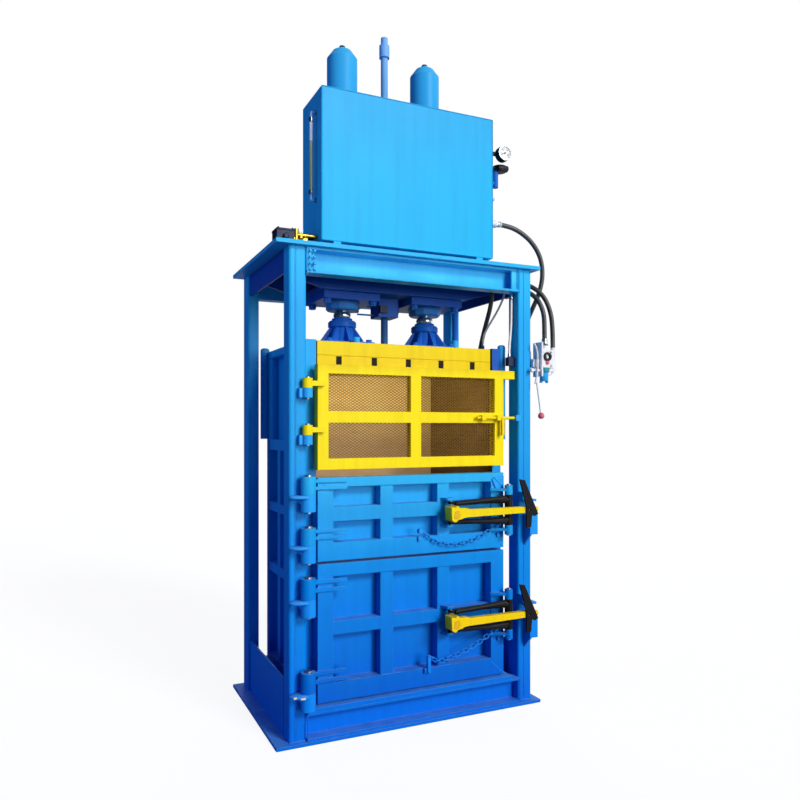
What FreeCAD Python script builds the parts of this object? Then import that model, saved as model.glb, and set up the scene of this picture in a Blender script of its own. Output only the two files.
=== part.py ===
import FreeCAD, Part
import math
import os
import re
import Sketcher

from FreeCAD import Rotation, Vector

# Recycling baler: an upright two-cylinder press on four columns. The origin is the
# centre of the base plate's underside, the doors face -Y, +Z is up, sizes are in mm.

# driving dimensions, written to the sheet below under the same names
SIZES = {
    # base and columns
    "base_width": 1500,
    "base_depth": 954,
    "base_thick": 16,
    "column_height": 2384,
    "column_width": 87,
    "column_deep": 100,
    "rear_column_width": 66,
    "column_wall": 8,
    "column_corner": 12,
    "left_inset": 70,
    "right_inset": 41,
    "rear_side_inset": 55,
    "column_front_inset": 30,
    "column_rear_inset": 30,
    "rear_column_deep": 110,
    "weld_groove": 6,
    "weld_groove_deep": 2,
    "weld_groove_in": 34,
    # base beams
    "base_beam_height": 134,
    "beam_flange": 12,
    "beam_web": 10,
    "base_beam_proud": 20,
    "base_beam_deep": 80,
    "rear_beam_deep": 70,
    "side_plate_height": 284,
    "side_plate_thick": 10,
    # top frame
    "top_thick": 20,
    "top_beam_height": 128,
    "top_beam_deep": 70,
    "top_beam_proud": 12,
    "top_side_height": 120,
    "top_side_thick": 10,
    "top_end_wide": 40,
    "top_end_thick": 12,
    "top_end_set": 4,
    "cylinder_spacing": 510,
    "cylinder_back": 27,
    "barrel_radius": 84,
    "plate_clearance": 2,
    "pole_radius": 20,
    "pole_fit": 0.05,
    "top_bush_clearance": 3,
    "cable_radius": 6,
    "conduit_radius": 7,
    "fitting_high": 32,
    "fitting_radius": 16,
    "gland_radius_small": 9,
    "conduit_gland": 14,
    "conduit_in": 13,
    "conduit_foot_in": 26,
    "conduit_back": 47,
    "hose_top_x": 556,
    "hose_top_y": 285,
    "cable_top_x": 606,
    "cable_top_y": 352,
    "pair_front": 227,
    "pair_deep": 80,
    "pair_drop": 110,
    "pair_high": 80,
    "pair_wide": 50,
    # crosshead under the top plate
    "crosshead_height": 150,
    "crosshead_haunch": 70,
    "crosshead_flat": 860,
    "crosshead_web": 20,
    "crosshead_half": 190,
    "crosshead_seat": 25,
    "crosshead_end_gap": 6,
    # guide sleeve
    "sleeve_size": 120,
    "sleeve_drop": 106,
    # chamber
    "chamber_gap": 25,
    "chamber_setback": 94,
    "rear_wall_gap": 6,
    "wall_thick": 8,
    "wall_rib": 47,
    "rib_width": 50,
    "floor_sill": 20,
    "floor_raised": 40,
    "floor_groove": 30,
    "floor_groove_deep": 24,
    "strap_pitch": 195,
    "floor_bearer": 60,
    "feed_drop": 942,
    "ledge_high": 60,
    "rear_rail_high": 36,
    "rear_rib": 40,
    # wall bands and the feet of the hose and cable inside
    "lower_band_drop": 758,
    "upper_band_drop": 408,
    "hose_foot_out": 24,
    "hose_foot_y": 60,
    "cable_foot_out": 35,
    "cable_foot_y": 184,
    # feed hopper sides
    "feed_high": 507,
    "feed_post_deep": 50,
    "rear_post_deep": 75,
    "rear_post_round": 22,
    "feed_rail_high": 40,
    # doors
    "door_lap": 20,
    "door_deep": 80,
    "door_skin": 8,
    "door_stile": 80,
    "door_rib": 70,
    "door_clear": 4,
    "lower_door_lift": 29,
    "lower_door_gap": 14,
    "lower_top_rail": 62,
    "lower_bottom_rail": 93,
    "lower_mid_rise": 325,
    "lower_mid_high": 66,
    "upper_door_high": 409,
    "upper_door_gap": 39,
    "upper_top_rail": 46,
    "upper_bottom_rail": 90,
    "upper_mid_rise": 193,
    "upper_mid_high": 71,
    "rib_setback": 6,
    # door hinges
    "hinge_lap": 4,
    "hinge_out": 52,
    "knuckle_radius": 36,
    "hinge_pin_radius": 14,
    "pin_fit": 0.05,
    "knuckle_gap": 0.3,
    "hinge_pin_over": 8,
    "hinge_head_lip": 5,
    "strap_long": 150,
    "strap_thick": 12,
    "wing_width": 80,
    "wing_thick": 14,
    "wing_gusset": 40,
    "wing_lap": 2,
    # heights of each hinge's knuckles
    "upper_hinge_up": 86,
    "upper_hinge_drop": 74,
    "upper_hinge_down": 82,
    "upper_low_hinge_up": 82,
    "upper_low_hinge_rise": 94,
    "upper_low_hinge_down": 84,
    "lower_hinge_up": 100,
    "lower_hinge_drop": 151,
    "lower_hinge_down": 82,
    "lower_low_hinge_up": 97,
    "lower_low_hinge_rise": 83,
    "lower_low_hinge_down": 86,
    # latches on the doors
    "chain_pitch": 24,
    "chain_wire": 5.5,
    "chain_wide": 20,
    "chain_slack": 0.6,
    "chain_corner": 0.6,
    "chain_boss": 12,
    "chain_boss_half": 12,
    "chain_boss_near": 4,
    "chain_boss_far": 18,
    "upper_chain_left_in": 507,
    "upper_chain_left_rise": 80,
    "upper_chain_right_in": 51,
    "upper_chain_right_rise": 73,
    "upper_chain_sag": 60,
    "lower_chain_left_in": 472,
    "lower_chain_left_rise": 83,
    "lower_chain_right_in": 48,
    "lower_chain_right_rise": 199,
    "lower_chain_sag": 34,
    # latch links, bars and levers
    "upper_latch_rise": 210,
    "lower_latch_rise": 336,
    "latch_pin_lap": 4,
    "latch_pin_out": 45,
    "latch_pin_radius": 12,
    "latch_pin_half": 134,
    "latch_pin_over": 6,
    "knee_pin_over": 4,
    "latch_ear_inner": 82,
    "latch_barrel_radius": 22,
    "end_play": 0.3,
    "latch_ear_thick": 14,
    "latch_arm_long": 90,
    "latch_arm_foot": 10,
    "latch_arm_tip": 8,
    "latch_arm_set": 4,
    "knee_off_post": 17,
    "knee_pin_radius": 8,
    "knee_block_half": 44,
    "knee_block_long": 72,
    "knee_block_front": 58,
    "knee_block_back": 14,
    "knee_eye_thick": 14,
    "knee_eye_radius": 15,
    "arm_thin": 7,
    "arm_fat": 20,
    "arm_lift": 2,
    "running_gap": 1,
    "latch_bar_half": 24,
    "latch_bar_deep": 32,
    "latch_bar_wall": 6,
    "latch_bar_cap": 10,
    "latch_bar_front": 58,
    "bar_end_in": 69,
    "tip_end_in": 7,
    "keeper_width": 50,
    "keeper_ear_in": 4,
    "keeper_front": 62,
    "keeper_thick": 12,
    "keeper_wing_top": 32,
    "keeper_wing_front": 140,
    "keeper_wing_back": 205,
    "keeper_ear_rise": 40,
    "keeper_ear_thick": 12,
    "keeper_ear_step": 22,
    "keeper_ear_high": 52,
    "lever_thick": 12,
    "lever_pin_radius": 7,
    "lever_pin_in": 12,
    "lever_pin_over": 4,
    "handle_top_left": 64,
    "handle_top_right": 34,
    "handle_rise": 168,
    "handle_shoulder": 164,
    "handle_heel_right": 54,
    "handle_heel_in": 22,
    "handle_heel_left": 30,
    "handle_heel_drop": 34,
    "handle_waist": 14,
    "handle_waist_drop": 6,
    "leg_foot_left": 22,
    "leg_foot_right": 8,
    "leg_drop": 92,
    "leg_head_right": 16,
    "leg_head_left": 18,
    "leg_rise": 10,
    "lever_gap": 1,
    "knee_ear_rise": 64,
    "knee_ear_out": 46,
    "knee_ear_foot": 34,
    "knee_ear_left": 20,
    "knee_ear_right": 14,
    "knee_ear_thick": 12,
    # mesh door
    "mesh_lap": 140,
    "mesh_high": 518,
    "mesh_deep": 50,
    "mesh_stile": 56,
    "mesh_top_rail": 45,
    "mesh_mid_rise": 231,
    "mesh_mid_high": 57,
    "mesh_bottom_rail": 55,
    "mesh_centre": 60,
    "mesh_thick": 4,
    "mesh_inset": 20,
    "mesh_hinge_out": 40,
    "mesh_knuckle_radius": 24,
    "mesh_pin_radius": 9,
    "mesh_knuckle_up": 48,
    "mesh_hinge_rise": 396,
    "mesh_knuckle_down": 46,
    "mesh_low_hinge_rise": 171,
    "mesh_arm": 22,
    "mesh_arm_in": 8,
    "mesh_arm_lap": 30,
    "mesh_arm_rise": 12,
    "mesh_arm_drop": 10,
    "mesh_lug_wide": 40,
    "mesh_pin_over": 5,
    "mesh_head_high": 6,
    "mesh_head_lip": 4,
    "stub_long": 72,
    "stub_deep": 36,
    # slide bolt and its receiver
    "bolt_radius": 8,
    "bolt_back": 180,
    "bolt_out": 20,
    "guide_long": 26,
    "guide_wall": 6,
    "guide_in": 24,
    "guide_right_in": 60,
    "handle_in": 22,
    "bolt_fit": 0.05,
    "slot_half": 10,
    "bolt_to_column": 30,
    "handle_drop": 95,
    "handle_wide": 16,
    # expanded metal
    "diamond_wide": 48,
    "diamond_high": 32,
    "strand": 6,
    "mesh_margin": 4,
    # press
    "flange_size": 318,
    "flange_thick": 40,
    "gland_radius": 83,
    "gland_drop": 42,
    "gland_lip": 12,
    "rod_radius": 34,
    "rod_fit": 0.05,
    "barrel_bore": 73,
    "piston_fit": 0.05,
    "piston_long": 60,
    "piston_clear": 10,
    "shoulder_rise": 1160,
    "cap_rise": 44,
    "nub_rise": 18,
    "cap_radius": 52,
    "nub_radius": 24,
    "flange_bolt_head": 16,
    "flange_bolt_inset": 34,
    "bolt_head_high": 14,
    "barrel_lead": 30,
    "platen_side_gap": 8,
    "platen_clear": 8,
    "platen_lift": 4,
    "platen_high": 121,
    "platen_face": 46,
    "platen_slot": 30,
    "platen_slot_high": 46,
    "platen_beam_deep": 90,
    "mount_flange": 275,
    "mount_thick": 28,
    "mount_high": 165,
    "mount_cone_low": 76,
    "mount_cone_top": 56,
    "mount_rib_thick": 14,
    "mount_rib_out": 125,
    "mount_rib_foot": 12,
    "mount_rib_lap": 2,
    "mount_rib_drop": 26,
    "mount_bolt_inset": 24,
    # platen
    "platen_skin": 8,
    "deck_edge": 10,
    "seam_deep": 2,
    "seam_rise": 1,
    "seam_high": 3,
    # guide pole
    "pole_rise": 1335,
    "pole_nut_drop": 113,
    "pole_nut_high": 70,
    "pole_nut_radius": 29,
    # tank and fittings
    "tank_left": 519,
    "tank_width": 969,
    "tank_setback": 19,
    "tank_deep": 298,
    "tank_feet": 17,
    "tank_high": 752,
    "tank_foot_width": 40,
    "tank_foot_in": 60,
    "tank_seam": 6,
    # sight level
    "sight_low_rise": 214,
    "sight_length": 435,
    "sight_back": 89,
    "sight_radius": 8,
    "sight_out": 26,
    "elbow_radius": 12,
    # pressure gauge and valve stack
    "gauge_out": 106,
    "gauge_back": 78,
    "gauge_rise": 603,
    "gauge_radius": 42,
    "gauge_deep": 34,
    "dial_neck_radius": 12,
    "dial_boss_half": 14,
    "dial_boss_deep": 16,
    "dial_boss_rise": 20,
    "filler_drop": 88,
    "filler_arm_radius": 12,
    "stack_back": 20,
    "stack_radius": 17,
    "stack_rise": 423,
    "stack_foot_rise": 22,
    "stack_foot_radius": 13,
    "cap_high": 30,
    "cap_rad": 38,
    "outlet_rise": 215,
    "outlet_back": 76,
    "outlet_radius": 18,
    "outlet_long": 62,
    "outlet_neck_radius": 14,
    "outlet_nut_near": 10,
    "outlet_nut_far": 12,
    "nipple_rise": 363,
    "nipple_long": 68,
    "stack_in": 78,
    # junction box and drain valve
    "box_inset": 20,
    "box_wide": 86,
    "box_front": 417,
    "box_deep": 90,
    "box_high": 62,
    "drain_gap": 4,
    "drain_y": 387,
    "drain_high": 74,
    "drain_radius": 13,
    "drain_arm_drop": 28,
    "drain_arm_radius": 9,
    # limit switches
    "switch_high": 47,
    "switch_rise": 32,
    "switch_wide": 40,
    "switch_back": 49,
    "switch_deep": 34,
    "plunger_radius": 5,
    "plunger_set": 6,
    "plunger_front": 8,
    "sleeve_switch_wide": 44,
    "sleeve_switch_deep": 24,
    "sleeve_switch_high": 40,
    "sleeve_switch_rise": 20,
    # manual valve on the right column
    "valve_out": 51,
    "valve_wide": 79,
    "valve_front": 477,
    "valve_deep": 62,
    "valve_drop": 540,
    "valve_high": 100,
    "valve_plate": 10,
    "valve_plate_front": 12,
    "valve_plate_back": 8,
    "bracket_inset": 8,
    "bracket_high": 46,
    "valve_plate_high": 190,
    "valve_plate_drop": 50,
    "spool_radius": 19,
    "spool_drop": 42,
    "lever_before": 23,
    "eye_radius": 10,
    "eye_half": 8,
    "cheek": 5,
    "valve_pin_radius": 4,
    "stick_radius": 5,
    "stick_long": 263,
    "ball_radius": 17,
    "stick_lean": 8.7,
    "hose_radius": 13,
    "port_radius": 15,
    "port_high": 25,
    "port_out": 17,
    "port_drop": 14,
    "elbow_high": 115,
    # hose routes and their blocks
    "block_wide": 52,
    "block_front": 372,
    "block_deep": 62,
    "block_drop": 495,
    "block_high": 55,
    "port_tall": 25,
    "return_out": 7,
    "return_back": 21,
    "pair_first": 22,
    "pair_second": 62,
}

# places that follow from the sizes, as formulas in the same sheet
PLACES = {
    # across
    "column_inner": "base_width / 2 - left_inset - column_width",
    "column_right": "base_width / 2 - right_inset",
    "chamber_width": "2 * (column_inner - chamber_gap - wall_rib - wall_thick)",
    "door_width": "chamber_width + 2 * door_lap",
    "platen_width": "chamber_width - 2 * platen_side_gap",
    "hinge_x": "column_inner + hinge_lap",
    "latch_pin_x": "door_width / 2 + latch_pin_lap",
    "door_bay": "(door_width - 2 * door_stile - 2 * door_rib) / 3",
    "knee_x": "door_width / 2 - door_stile - door_bay - door_rib / 2 + knee_off_post",
    "latch_bar_end": "column_right - bar_end_in",
    "latch_tip_end": "column_right - tip_end_in",
    "bolt_left": "door_width / 2 - bolt_back",
    "conduit_x": "column_right - column_width - conduit_in",
    "hose_foot_x": "chamber_width / 2 + wall_thick + hose_foot_out",
    "cable_foot_x": "chamber_width / 2 + wall_thick + cable_foot_out",
    "upper_chain_left": "door_width / 2 - upper_chain_left_in",
    "upper_chain_right": "door_width / 2 - upper_chain_right_in",
    "lower_chain_left": "door_width / 2 - lower_chain_left_in",
    "lower_chain_right": "door_width / 2 - lower_chain_right_in",
    "gauge_x": "tank_width - tank_left + gauge_out",
    "box_left": "base_width / 2 - box_inset",
    "drain_x": "box_left - box_wide - drain_gap - drain_radius",
    # front to back
    "column_face": "base_depth / 2 - column_front_inset",
    "chamber_front": "column_face - chamber_setback",
    "chamber_back": "base_depth / 2 - column_rear_inset - rear_wall_gap - rear_rib - wall_thick",
    "door_face": "chamber_front + door_clear + door_deep",
    "hinge_y": "door_face + hinge_out",
    "latch_pin_y": "door_face + latch_pin_out",
    "mesh_hinge_y": "door_face + mesh_hinge_out",
    "conduit_y": "column_face - conduit_back",
    "switch_y": "column_face - switch_back",
    "tank_front": "base_depth / 2 - tank_setback",
    "sight_y": "tank_front - sight_back",
    "gauge_y": "tank_front - gauge_back",
    "outlet_y": "tank_front - outlet_back",
    # heights
    "frame_top": "base_thick + column_height",
    "tank_foot": "frame_top + top_thick + tank_feet",
    "feed_level": "frame_top - feed_drop",
    "feed_top": "feed_level + feed_high",
    "upper_band": "feed_level - upper_band_drop",
    "lower_band": "feed_level - lower_band_drop",
    "mesh_low": "feed_level - mesh_lap",
    "mesh_top": "mesh_low + mesh_high",
    "mesh_mid_low": "mesh_low + mesh_mid_rise",
    "mesh_hinge_meet": "mesh_low + mesh_hinge_rise",
    "mesh_low_hinge_meet": "mesh_low + mesh_low_hinge_rise",
    "mesh_hinge_top": "mesh_hinge_meet + mesh_knuckle_up",
    "mesh_low_hinge_top": "mesh_low_hinge_meet + mesh_knuckle_up",
    "mesh_hinge_foot": "mesh_hinge_meet - mesh_knuckle_down",
    "mesh_low_hinge_foot": "mesh_low_hinge_meet - mesh_knuckle_down",
    "upper_door_top": "mesh_low - upper_door_gap",
    "upper_door_low": "upper_door_top - upper_door_high",
    "upper_mid_rail": "upper_door_low + upper_mid_rise",
    "lower_door_low": "base_thick + base_beam_height + lower_door_lift",
    "lower_door_top": "upper_door_low - lower_door_gap",
    "lower_mid_rail": "lower_door_low + lower_mid_rise",
    "upper_hinge_meet": "upper_door_top - upper_hinge_drop",
    "upper_low_hinge_meet": "upper_door_low + upper_low_hinge_rise",
    "lower_hinge_meet": "lower_door_top - lower_hinge_drop",
    "lower_low_hinge_meet": "lower_door_low + lower_low_hinge_rise",
    "upper_hinge_top": "upper_hinge_meet + upper_hinge_up",
    "upper_hinge_foot": "upper_hinge_meet - upper_hinge_down",
    "upper_low_hinge_top": "upper_low_hinge_meet + upper_low_hinge_up",
    "upper_low_hinge_foot": "upper_low_hinge_meet - upper_low_hinge_down",
    "lower_hinge_top": "lower_hinge_meet + lower_hinge_up",
    "lower_hinge_foot": "lower_hinge_meet - lower_hinge_down",
    "lower_low_hinge_top": "lower_low_hinge_meet + lower_low_hinge_up",
    "lower_low_hinge_foot": "lower_low_hinge_meet - lower_low_hinge_down",
    "upper_latch_z": "upper_door_low + upper_latch_rise",
    "lower_latch_z": "lower_door_low + lower_latch_rise",
    "upper_chain_left_z": "upper_door_low + upper_chain_left_rise",
    "upper_chain_right_z": "upper_door_low + upper_chain_right_rise",
    "lower_chain_left_z": "lower_door_low + lower_chain_left_rise",
    "lower_chain_right_z": "lower_door_low + lower_chain_right_rise",
    "platen_low": "mesh_top + platen_lift",
    "platen_top": "platen_low + platen_high",
    "mount_top": "platen_top + mount_high",
    "shoulder_z": "frame_top + shoulder_rise",
    "cap_z": "shoulder_z + cap_rise",
    "nub_z": "cap_z + nub_rise",
    "pole_top": "frame_top + pole_rise",
    "pole_nut_low": "pole_top - pole_nut_drop",
    "sight_low": "tank_foot + sight_low_rise",
    "sight_high": "sight_low + sight_length",
    "gauge_z": "tank_foot + gauge_rise",
    "stack_low": "tank_foot + stack_rise",
    "outlet_z": "tank_foot + outlet_rise",
    "nipple_z": "tank_foot + nipple_rise",
    "pair_low": "frame_top - pair_drop",
    "switch_low": "mesh_top + switch_rise",
    "switch_top": "switch_low + switch_high",
    "valve_low": "frame_top - valve_drop",
    "block_low": "frame_top - block_drop",
}

doc = FreeCAD.newDocument("recycling_baler")
sheet = doc.addObject("Spreadsheet::Sheet", "Sizes")
NODES = []

for row, name in enumerate(list(SIZES) + list(PLACES), 1):
    sheet.set("A%d" % row, name.replace("_", " "))
    sheet.setAlias("B%d" % row, name)
    sheet.set("B%d" % row, str(SIZES[name]) if name in SIZES else "=" + PLACES[name])
sheet.recompute()


def bound(formula):
    """The formula with each size's name led back to the sheet."""
    return re.sub(r"[a-z][a-z_]+", lambda word: "Sizes." + word.group()
                  if word.group() in SIZES or word.group() in PLACES else word.group(), str(formula))


def number(formula):
    """The formula's value now, for shapes that are worked out in code."""
    return float(sheet.evalExpression(bound(formula)))


def tie(item, **formulas):
    for name, formula in formulas.items():
        item.setExpression(name.replace("__", "."), bound(formula))


def place(item, x, y, z):
    for axis, formula in zip("xyz", (x, y, z)):
        item.setExpression("Placement.Base." + axis, bound(formula))


def node(item, name):
    """Name a finished piece, so that it is checked and exported."""
    item.Label = name
    NODES.append(item)
    return item


def block(across, deep, high):
    """A box between three pairs of (low, high) places."""
    item = doc.addObject("Part::Box", "block")
    for name, (low, top) in zip(("Length", "Width", "Height"), (across, deep, high)):
        item.setExpression(name, bound("(%s) - (%s)" % (top, low)))
    place(item, across[0], deep[0], high[0])
    return item


TURNS = {"X": Rotation(Vector(0, 1, 0), 90), "Y": Rotation(Vector(1, 0, 0), -90), "Z": Rotation()}


def bar(axis, centre, span, radius):
    """A round bar along an axis; centre holds the two other coordinates, in X, Y, Z order."""
    item = doc.addObject("Part::Cylinder", "bar")
    tie(item, Radius=radius, Height="(%s) - (%s)" % (span[1], span[0]))
    item.Placement.Rotation = TURNS[axis]
    spots = list(centre)
    spots.insert("XYZ".index(axis), span[0])
    place(item, *spots)
    return item


def taper(axis, centre, span, low_radius, top_radius):
    """A cone frustum along an axis."""
    item = doc.addObject("Part::Cone", "taper")
    tie(item, Radius1=low_radius, Radius2=top_radius, Height="(%s) - (%s)" % (span[1], span[0]))
    item.Placement.Rotation = TURNS[axis]
    spots = list(centre)
    spots.insert("XYZ".index(axis), span[0])
    place(item, *spots)
    return item


def join(*pieces):
    if len(pieces) == 1:
        return pieces[0]
    item = doc.addObject("Part::MultiFuse", "joined")
    item.Shapes = list(pieces)
    item.Refine = True
    return item


def cut(base, *tools):
    item = doc.addObject("Part::Cut", "cut")
    item.Base = base
    item.Tool = join(*tools)
    item.Refine = True
    return item


def group(*pieces):
    """Like pieces that share a node as separate solids."""
    item = doc.addObject("Part::Compound", "group")
    item.Links = list(pieces)
    return item


PLANES = {"XY": "XY_Plane", "XZ": "XZ_Plane", "YZ": "YZ_Plane"}


def plane_of(body, name):
    return next(f for f in body.Origin.OriginFeatures if f.Role == PLANES[name])


def draw(body, plane, outline, start):
    """A closed sketch whose corners are bound to formulas, start along the plane's axis."""
    sketch = body.newObject("Sketcher::SketchObject", "outline")
    sketch.AttachmentSupport = [(plane_of(body, plane), "")]
    sketch.MapMode = "FlatFace"
    side = "-" if plane == "XZ" else ""
    sketch.setExpression("AttachmentOffset.Base.z", bound("%s(%s)" % (side, start)))
    spots = [(number(a), number(b)) for a, b in outline]
    for i, (a, b) in enumerate(spots):
        end = spots[(i + 1) % len(spots)]
        sketch.addGeometry(Part.LineSegment(Vector(a, b, 0), Vector(end[0], end[1], 0)))
    for i in range(len(spots)):
        sketch.addConstraint(Sketcher.Constraint("Coincident", i, 2, (i + 1) % len(spots), 1))
    for i, (a, b) in enumerate(outline):
        for kind, formula, now in (("DistanceX", a, spots[i][0]), ("DistanceY", b, spots[i][1])):
            row = sketch.addConstraint(Sketcher.Constraint(kind, -1, 1, i, 1, now))
            sketch.setExpression("Constraints[%d]" % row, bound(formula))
    return sketch


def prism(plane, outline, span):
    """A body padded from a sketched outline between two places on the plane's own axis."""
    body = doc.addObject("PartDesign::Body", "prism")
    sketch = draw(body, plane, outline, span[0])
    pad = body.newObject("PartDesign::Pad", "pad")
    pad.Profile = sketch
    pad.Reversed = plane == "XZ"
    tie(pad, Length="(%s) - (%s)" % (span[1], span[0]))
    body.Tip = pad
    return body


def turned(axis_x, axis_y, outline):
    """A body revolved about a vertical axis from (radius, height) corners."""
    body = doc.addObject("PartDesign::Body", "turned")
    sketch = draw(body, "XZ", outline, "0")
    turn = body.newObject("PartDesign::Revolution", "turn")
    turn.Profile = sketch
    turn.ReferenceAxis = (sketch, ["V_Axis"])
    turn.Angle = 360
    body.Tip = turn
    place(body, axis_x, axis_y, "0")
    return body


def rounded(body, picks, radius):
    """Fillet the body's edges that picks names, such as those along Z at a corner."""
    doc.recompute()
    tip = body.Tip
    names = ["Edge%d" % (i + 1) for i, edge in enumerate(tip.Shape.Edges) if picks(edge)]
    fillet = body.newObject("PartDesign::Fillet", "rounding")
    fillet.Base = (tip, names)
    tie(fillet, Radius=radius)
    body.Tip = fillet
    return body


def upright(edge):
    low, high = edge.BoundBox.ZMin, edge.BoundBox.ZMax
    return high - low > 1 and edge.BoundBox.XLength < 0.01 and edge.BoundBox.YLength < 0.01


SIDES = (("left", "-"), ("right", ""))


def mirror_span(sign, near, far):
    """A (low, high) pair across X between two distances from the middle, on one side."""
    if sign:
        return "-(%s)" % far, "-(%s)" % near
    return near, far


# ---------------------------------------------------------------- base and columns

LEFT = "(-base_width / 2)"
FRONT = "(-base_depth / 2)"
REAR = "(base_depth / 2)"
COLUMN_TOP = "(base_thick + column_height)"
OUT = {"left": "(base_width / 2 - left_inset)", "right": "(base_width / 2 - right_inset)"}
IN = {"left": "(%s - column_width)" % OUT["left"], "right": "(%s - column_width)" % OUT["right"]}
BETWEEN = ("-%s" % IN["left"], IN["right"])
REAR_OUT = "(base_width / 2 - rear_side_inset)"
REAR_IN = "(%s - rear_column_width)" % REAR_OUT
REAR_BETWEEN = ("-%s" % REAR_IN, REAR_IN)
COLUMN_FRONT = "(%s + column_front_inset)" % FRONT
COLUMN_FRONT_BACK = "(%s + column_deep)" % COLUMN_FRONT
COLUMN_REAR = "(%s - column_rear_inset)" % REAR
COLUMN_REAR_FACE = "(%s - rear_column_deep)" % COLUMN_REAR

node(block((LEFT, "base_width / 2"), (FRONT, REAR), ("0", "base_thick")), "base_plate")


def column(across, deep, grooved):
    """A rounded box section with the long weld of its two halves as a groove."""
    x0, x1 = across
    y0, y1 = deep
    corners = [(x0, y0), (x1, y0), (x1, y1), (x0, y1)]
    shell = rounded(prism("XY", corners, ("base_thick", COLUMN_TOP)), upright, "column_corner")
    inner = [("%s + column_wall" % x0, "%s + column_wall" % y0),
             ("%s - column_wall" % x1, "%s + column_wall" % y0),
             ("%s - column_wall" % x1, "%s - column_wall" % y1),
             ("%s + column_wall" % x0, "%s - column_wall" % y1)]
    hollow = prism("XY", inner, ("base_thick - 1", "%s + 1" % COLUMN_TOP))
    tools = [hollow]
    if grooved:
        middle = "%s + weld_groove_in" % x0
        notch = [("%s - weld_groove / 2" % middle, "%s - weld_groove" % y0),
                 ("%s + weld_groove / 2" % middle, "%s - weld_groove" % y0),
                 (middle, "%s + weld_groove_deep" % y0)]
        tools.append(prism("XY", notch, ("base_thick", COLUMN_TOP)))
    return cut(shell, *tools)


for side, sign in SIDES:
    front_x = mirror_span(sign, IN[side], OUT[side])
    rear_x = mirror_span(sign, REAR_IN, REAR_OUT)
    node(column(front_x, (COLUMN_FRONT, COLUMN_FRONT_BACK), True), "column_front_" + side)
    node(column(rear_x, (COLUMN_REAR_FACE, COLUMN_REAR), False), "column_rear_" + side)

# base beams: channels whose open side faces outwards
BEAM_TOP = "(base_thick + base_beam_height)"
BEAM_FRONT = "(%s - base_beam_proud)" % COLUMN_FRONT
BEAM_BACK = "(%s + base_beam_deep)" % BEAM_FRONT
REAR_BEAM_IN = "(%s - rear_beam_deep)" % COLUMN_REAR


def channel(across, deep, high, web_at_back):
    """A channel lying along X: two flanges and a web."""
    y0, y1 = deep
    z0, z1 = high
    web = ("%s - beam_web" % y1, y1) if web_at_back else (y0, "%s + beam_web" % y0)
    return join(block(across, deep, (z0, "%s + beam_flange" % z0)),
                block(across, deep, ("%s - beam_flange" % z1, z1)),
                block(across, web, high))


node(channel(BETWEEN, (BEAM_FRONT, BEAM_BACK), ("base_thick", BEAM_TOP), True), "base_beam_front")
node(channel(REAR_BETWEEN, (REAR_BEAM_IN, COLUMN_REAR), ("base_thick", BEAM_TOP), False), "base_beam_rear")
# the side plates run flush with whichever column stands further in
SIDE_OUT = {"left": OUT["left"], "right": REAR_OUT}
node(group(*[block(mirror_span(sign, "%s - side_plate_thick" % SIDE_OUT[side], SIDE_OUT[side]),
                   (COLUMN_FRONT_BACK, COLUMN_REAR_FACE),
                   ("base_thick", "base_thick + side_plate_height"))
             for side, sign in SIDES]), "base_side_plates")

# ---------------------------------------------------------------- top frame
TOP_UNDER = COLUMN_TOP
TOP_FACE = "(%s + top_thick)" % COLUMN_TOP
TOP_BEAM_LOW = "(%s - top_beam_height)" % TOP_UNDER
CYL_Y = "(-cylinder_back)"
CYL_X = {"left": "(-cylinder_spacing / 2)", "right": "(cylinder_spacing / 2)"}

bores = [bar("Z", (CYL_X[side], CYL_Y), ("%s - 1" % TOP_UNDER, "%s + 1" % TOP_FACE),
             "barrel_radius + plate_clearance") for side in ("left", "right")]
pole_hole = bar("Z", ("0", CYL_Y), ("%s - 1" % TOP_UNDER, "%s + 1" % TOP_FACE),
                "pole_radius + top_bush_clearance")
top_slab = block((LEFT, "base_width / 2"), (FRONT, REAR), (TOP_UNDER, TOP_FACE))
UNDER_FITTING = ("%s - fitting_high" % TOP_UNDER, TOP_UNDER)
hose_fitting = bar("Z", ("hose_top_x", "-hose_top_y"), UNDER_FITTING, "fitting_radius")
cable_fitting = bar("Z", ("cable_top_x", "-cable_top_y"), UNDER_FITTING, "gland_radius_small")
node(cut(join(top_slab, hose_fitting, cable_fitting), pole_hole, *bores), "top_plate")

TOP_BEAM_BACK = "(%s + top_beam_deep)" % COLUMN_FRONT
top_channel = channel(BETWEEN, (COLUMN_FRONT, TOP_BEAM_BACK), (TOP_BEAM_LOW, TOP_UNDER), True)
top_lip = block(BETWEEN, ("%s - top_beam_proud" % COLUMN_FRONT, COLUMN_FRONT),
                (TOP_BEAM_LOW, "%s + beam_flange" % TOP_BEAM_LOW))
end_plates = [block(mirror_span(sign, "%s - top_end_wide" % IN[side], IN[side]),
                    ("%s + top_end_set" % COLUMN_FRONT, "%s + top_end_set + top_end_thick" % COLUMN_FRONT),
                    ("%s + beam_flange" % TOP_BEAM_LOW, "%s - beam_flange" % TOP_UNDER))
              for side, sign in SIDES]
conduit_boss = bar("Z", ("conduit_x", "-conduit_y"), ("%s - conduit_gland" % TOP_BEAM_LOW, TOP_BEAM_LOW),
                   "gland_radius_small")
node(join(top_channel, top_lip, conduit_boss, *end_plates), "top_beam_front")
TOP_REAR_IN = "(%s - top_beam_deep)" % COLUMN_REAR
node(channel(REAR_BETWEEN, (TOP_REAR_IN, COLUMN_REAR), (TOP_BEAM_LOW, TOP_UNDER), False), "top_beam_rear")
PAIR_X = "(%s + pair_wide / 2)" % REAR_OUT
hose_block = block((REAR_OUT, "%s + pair_wide" % REAR_OUT), ("-pair_front", "-pair_front + pair_deep"),
                   ("pair_low", "pair_low + pair_high"))
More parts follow.
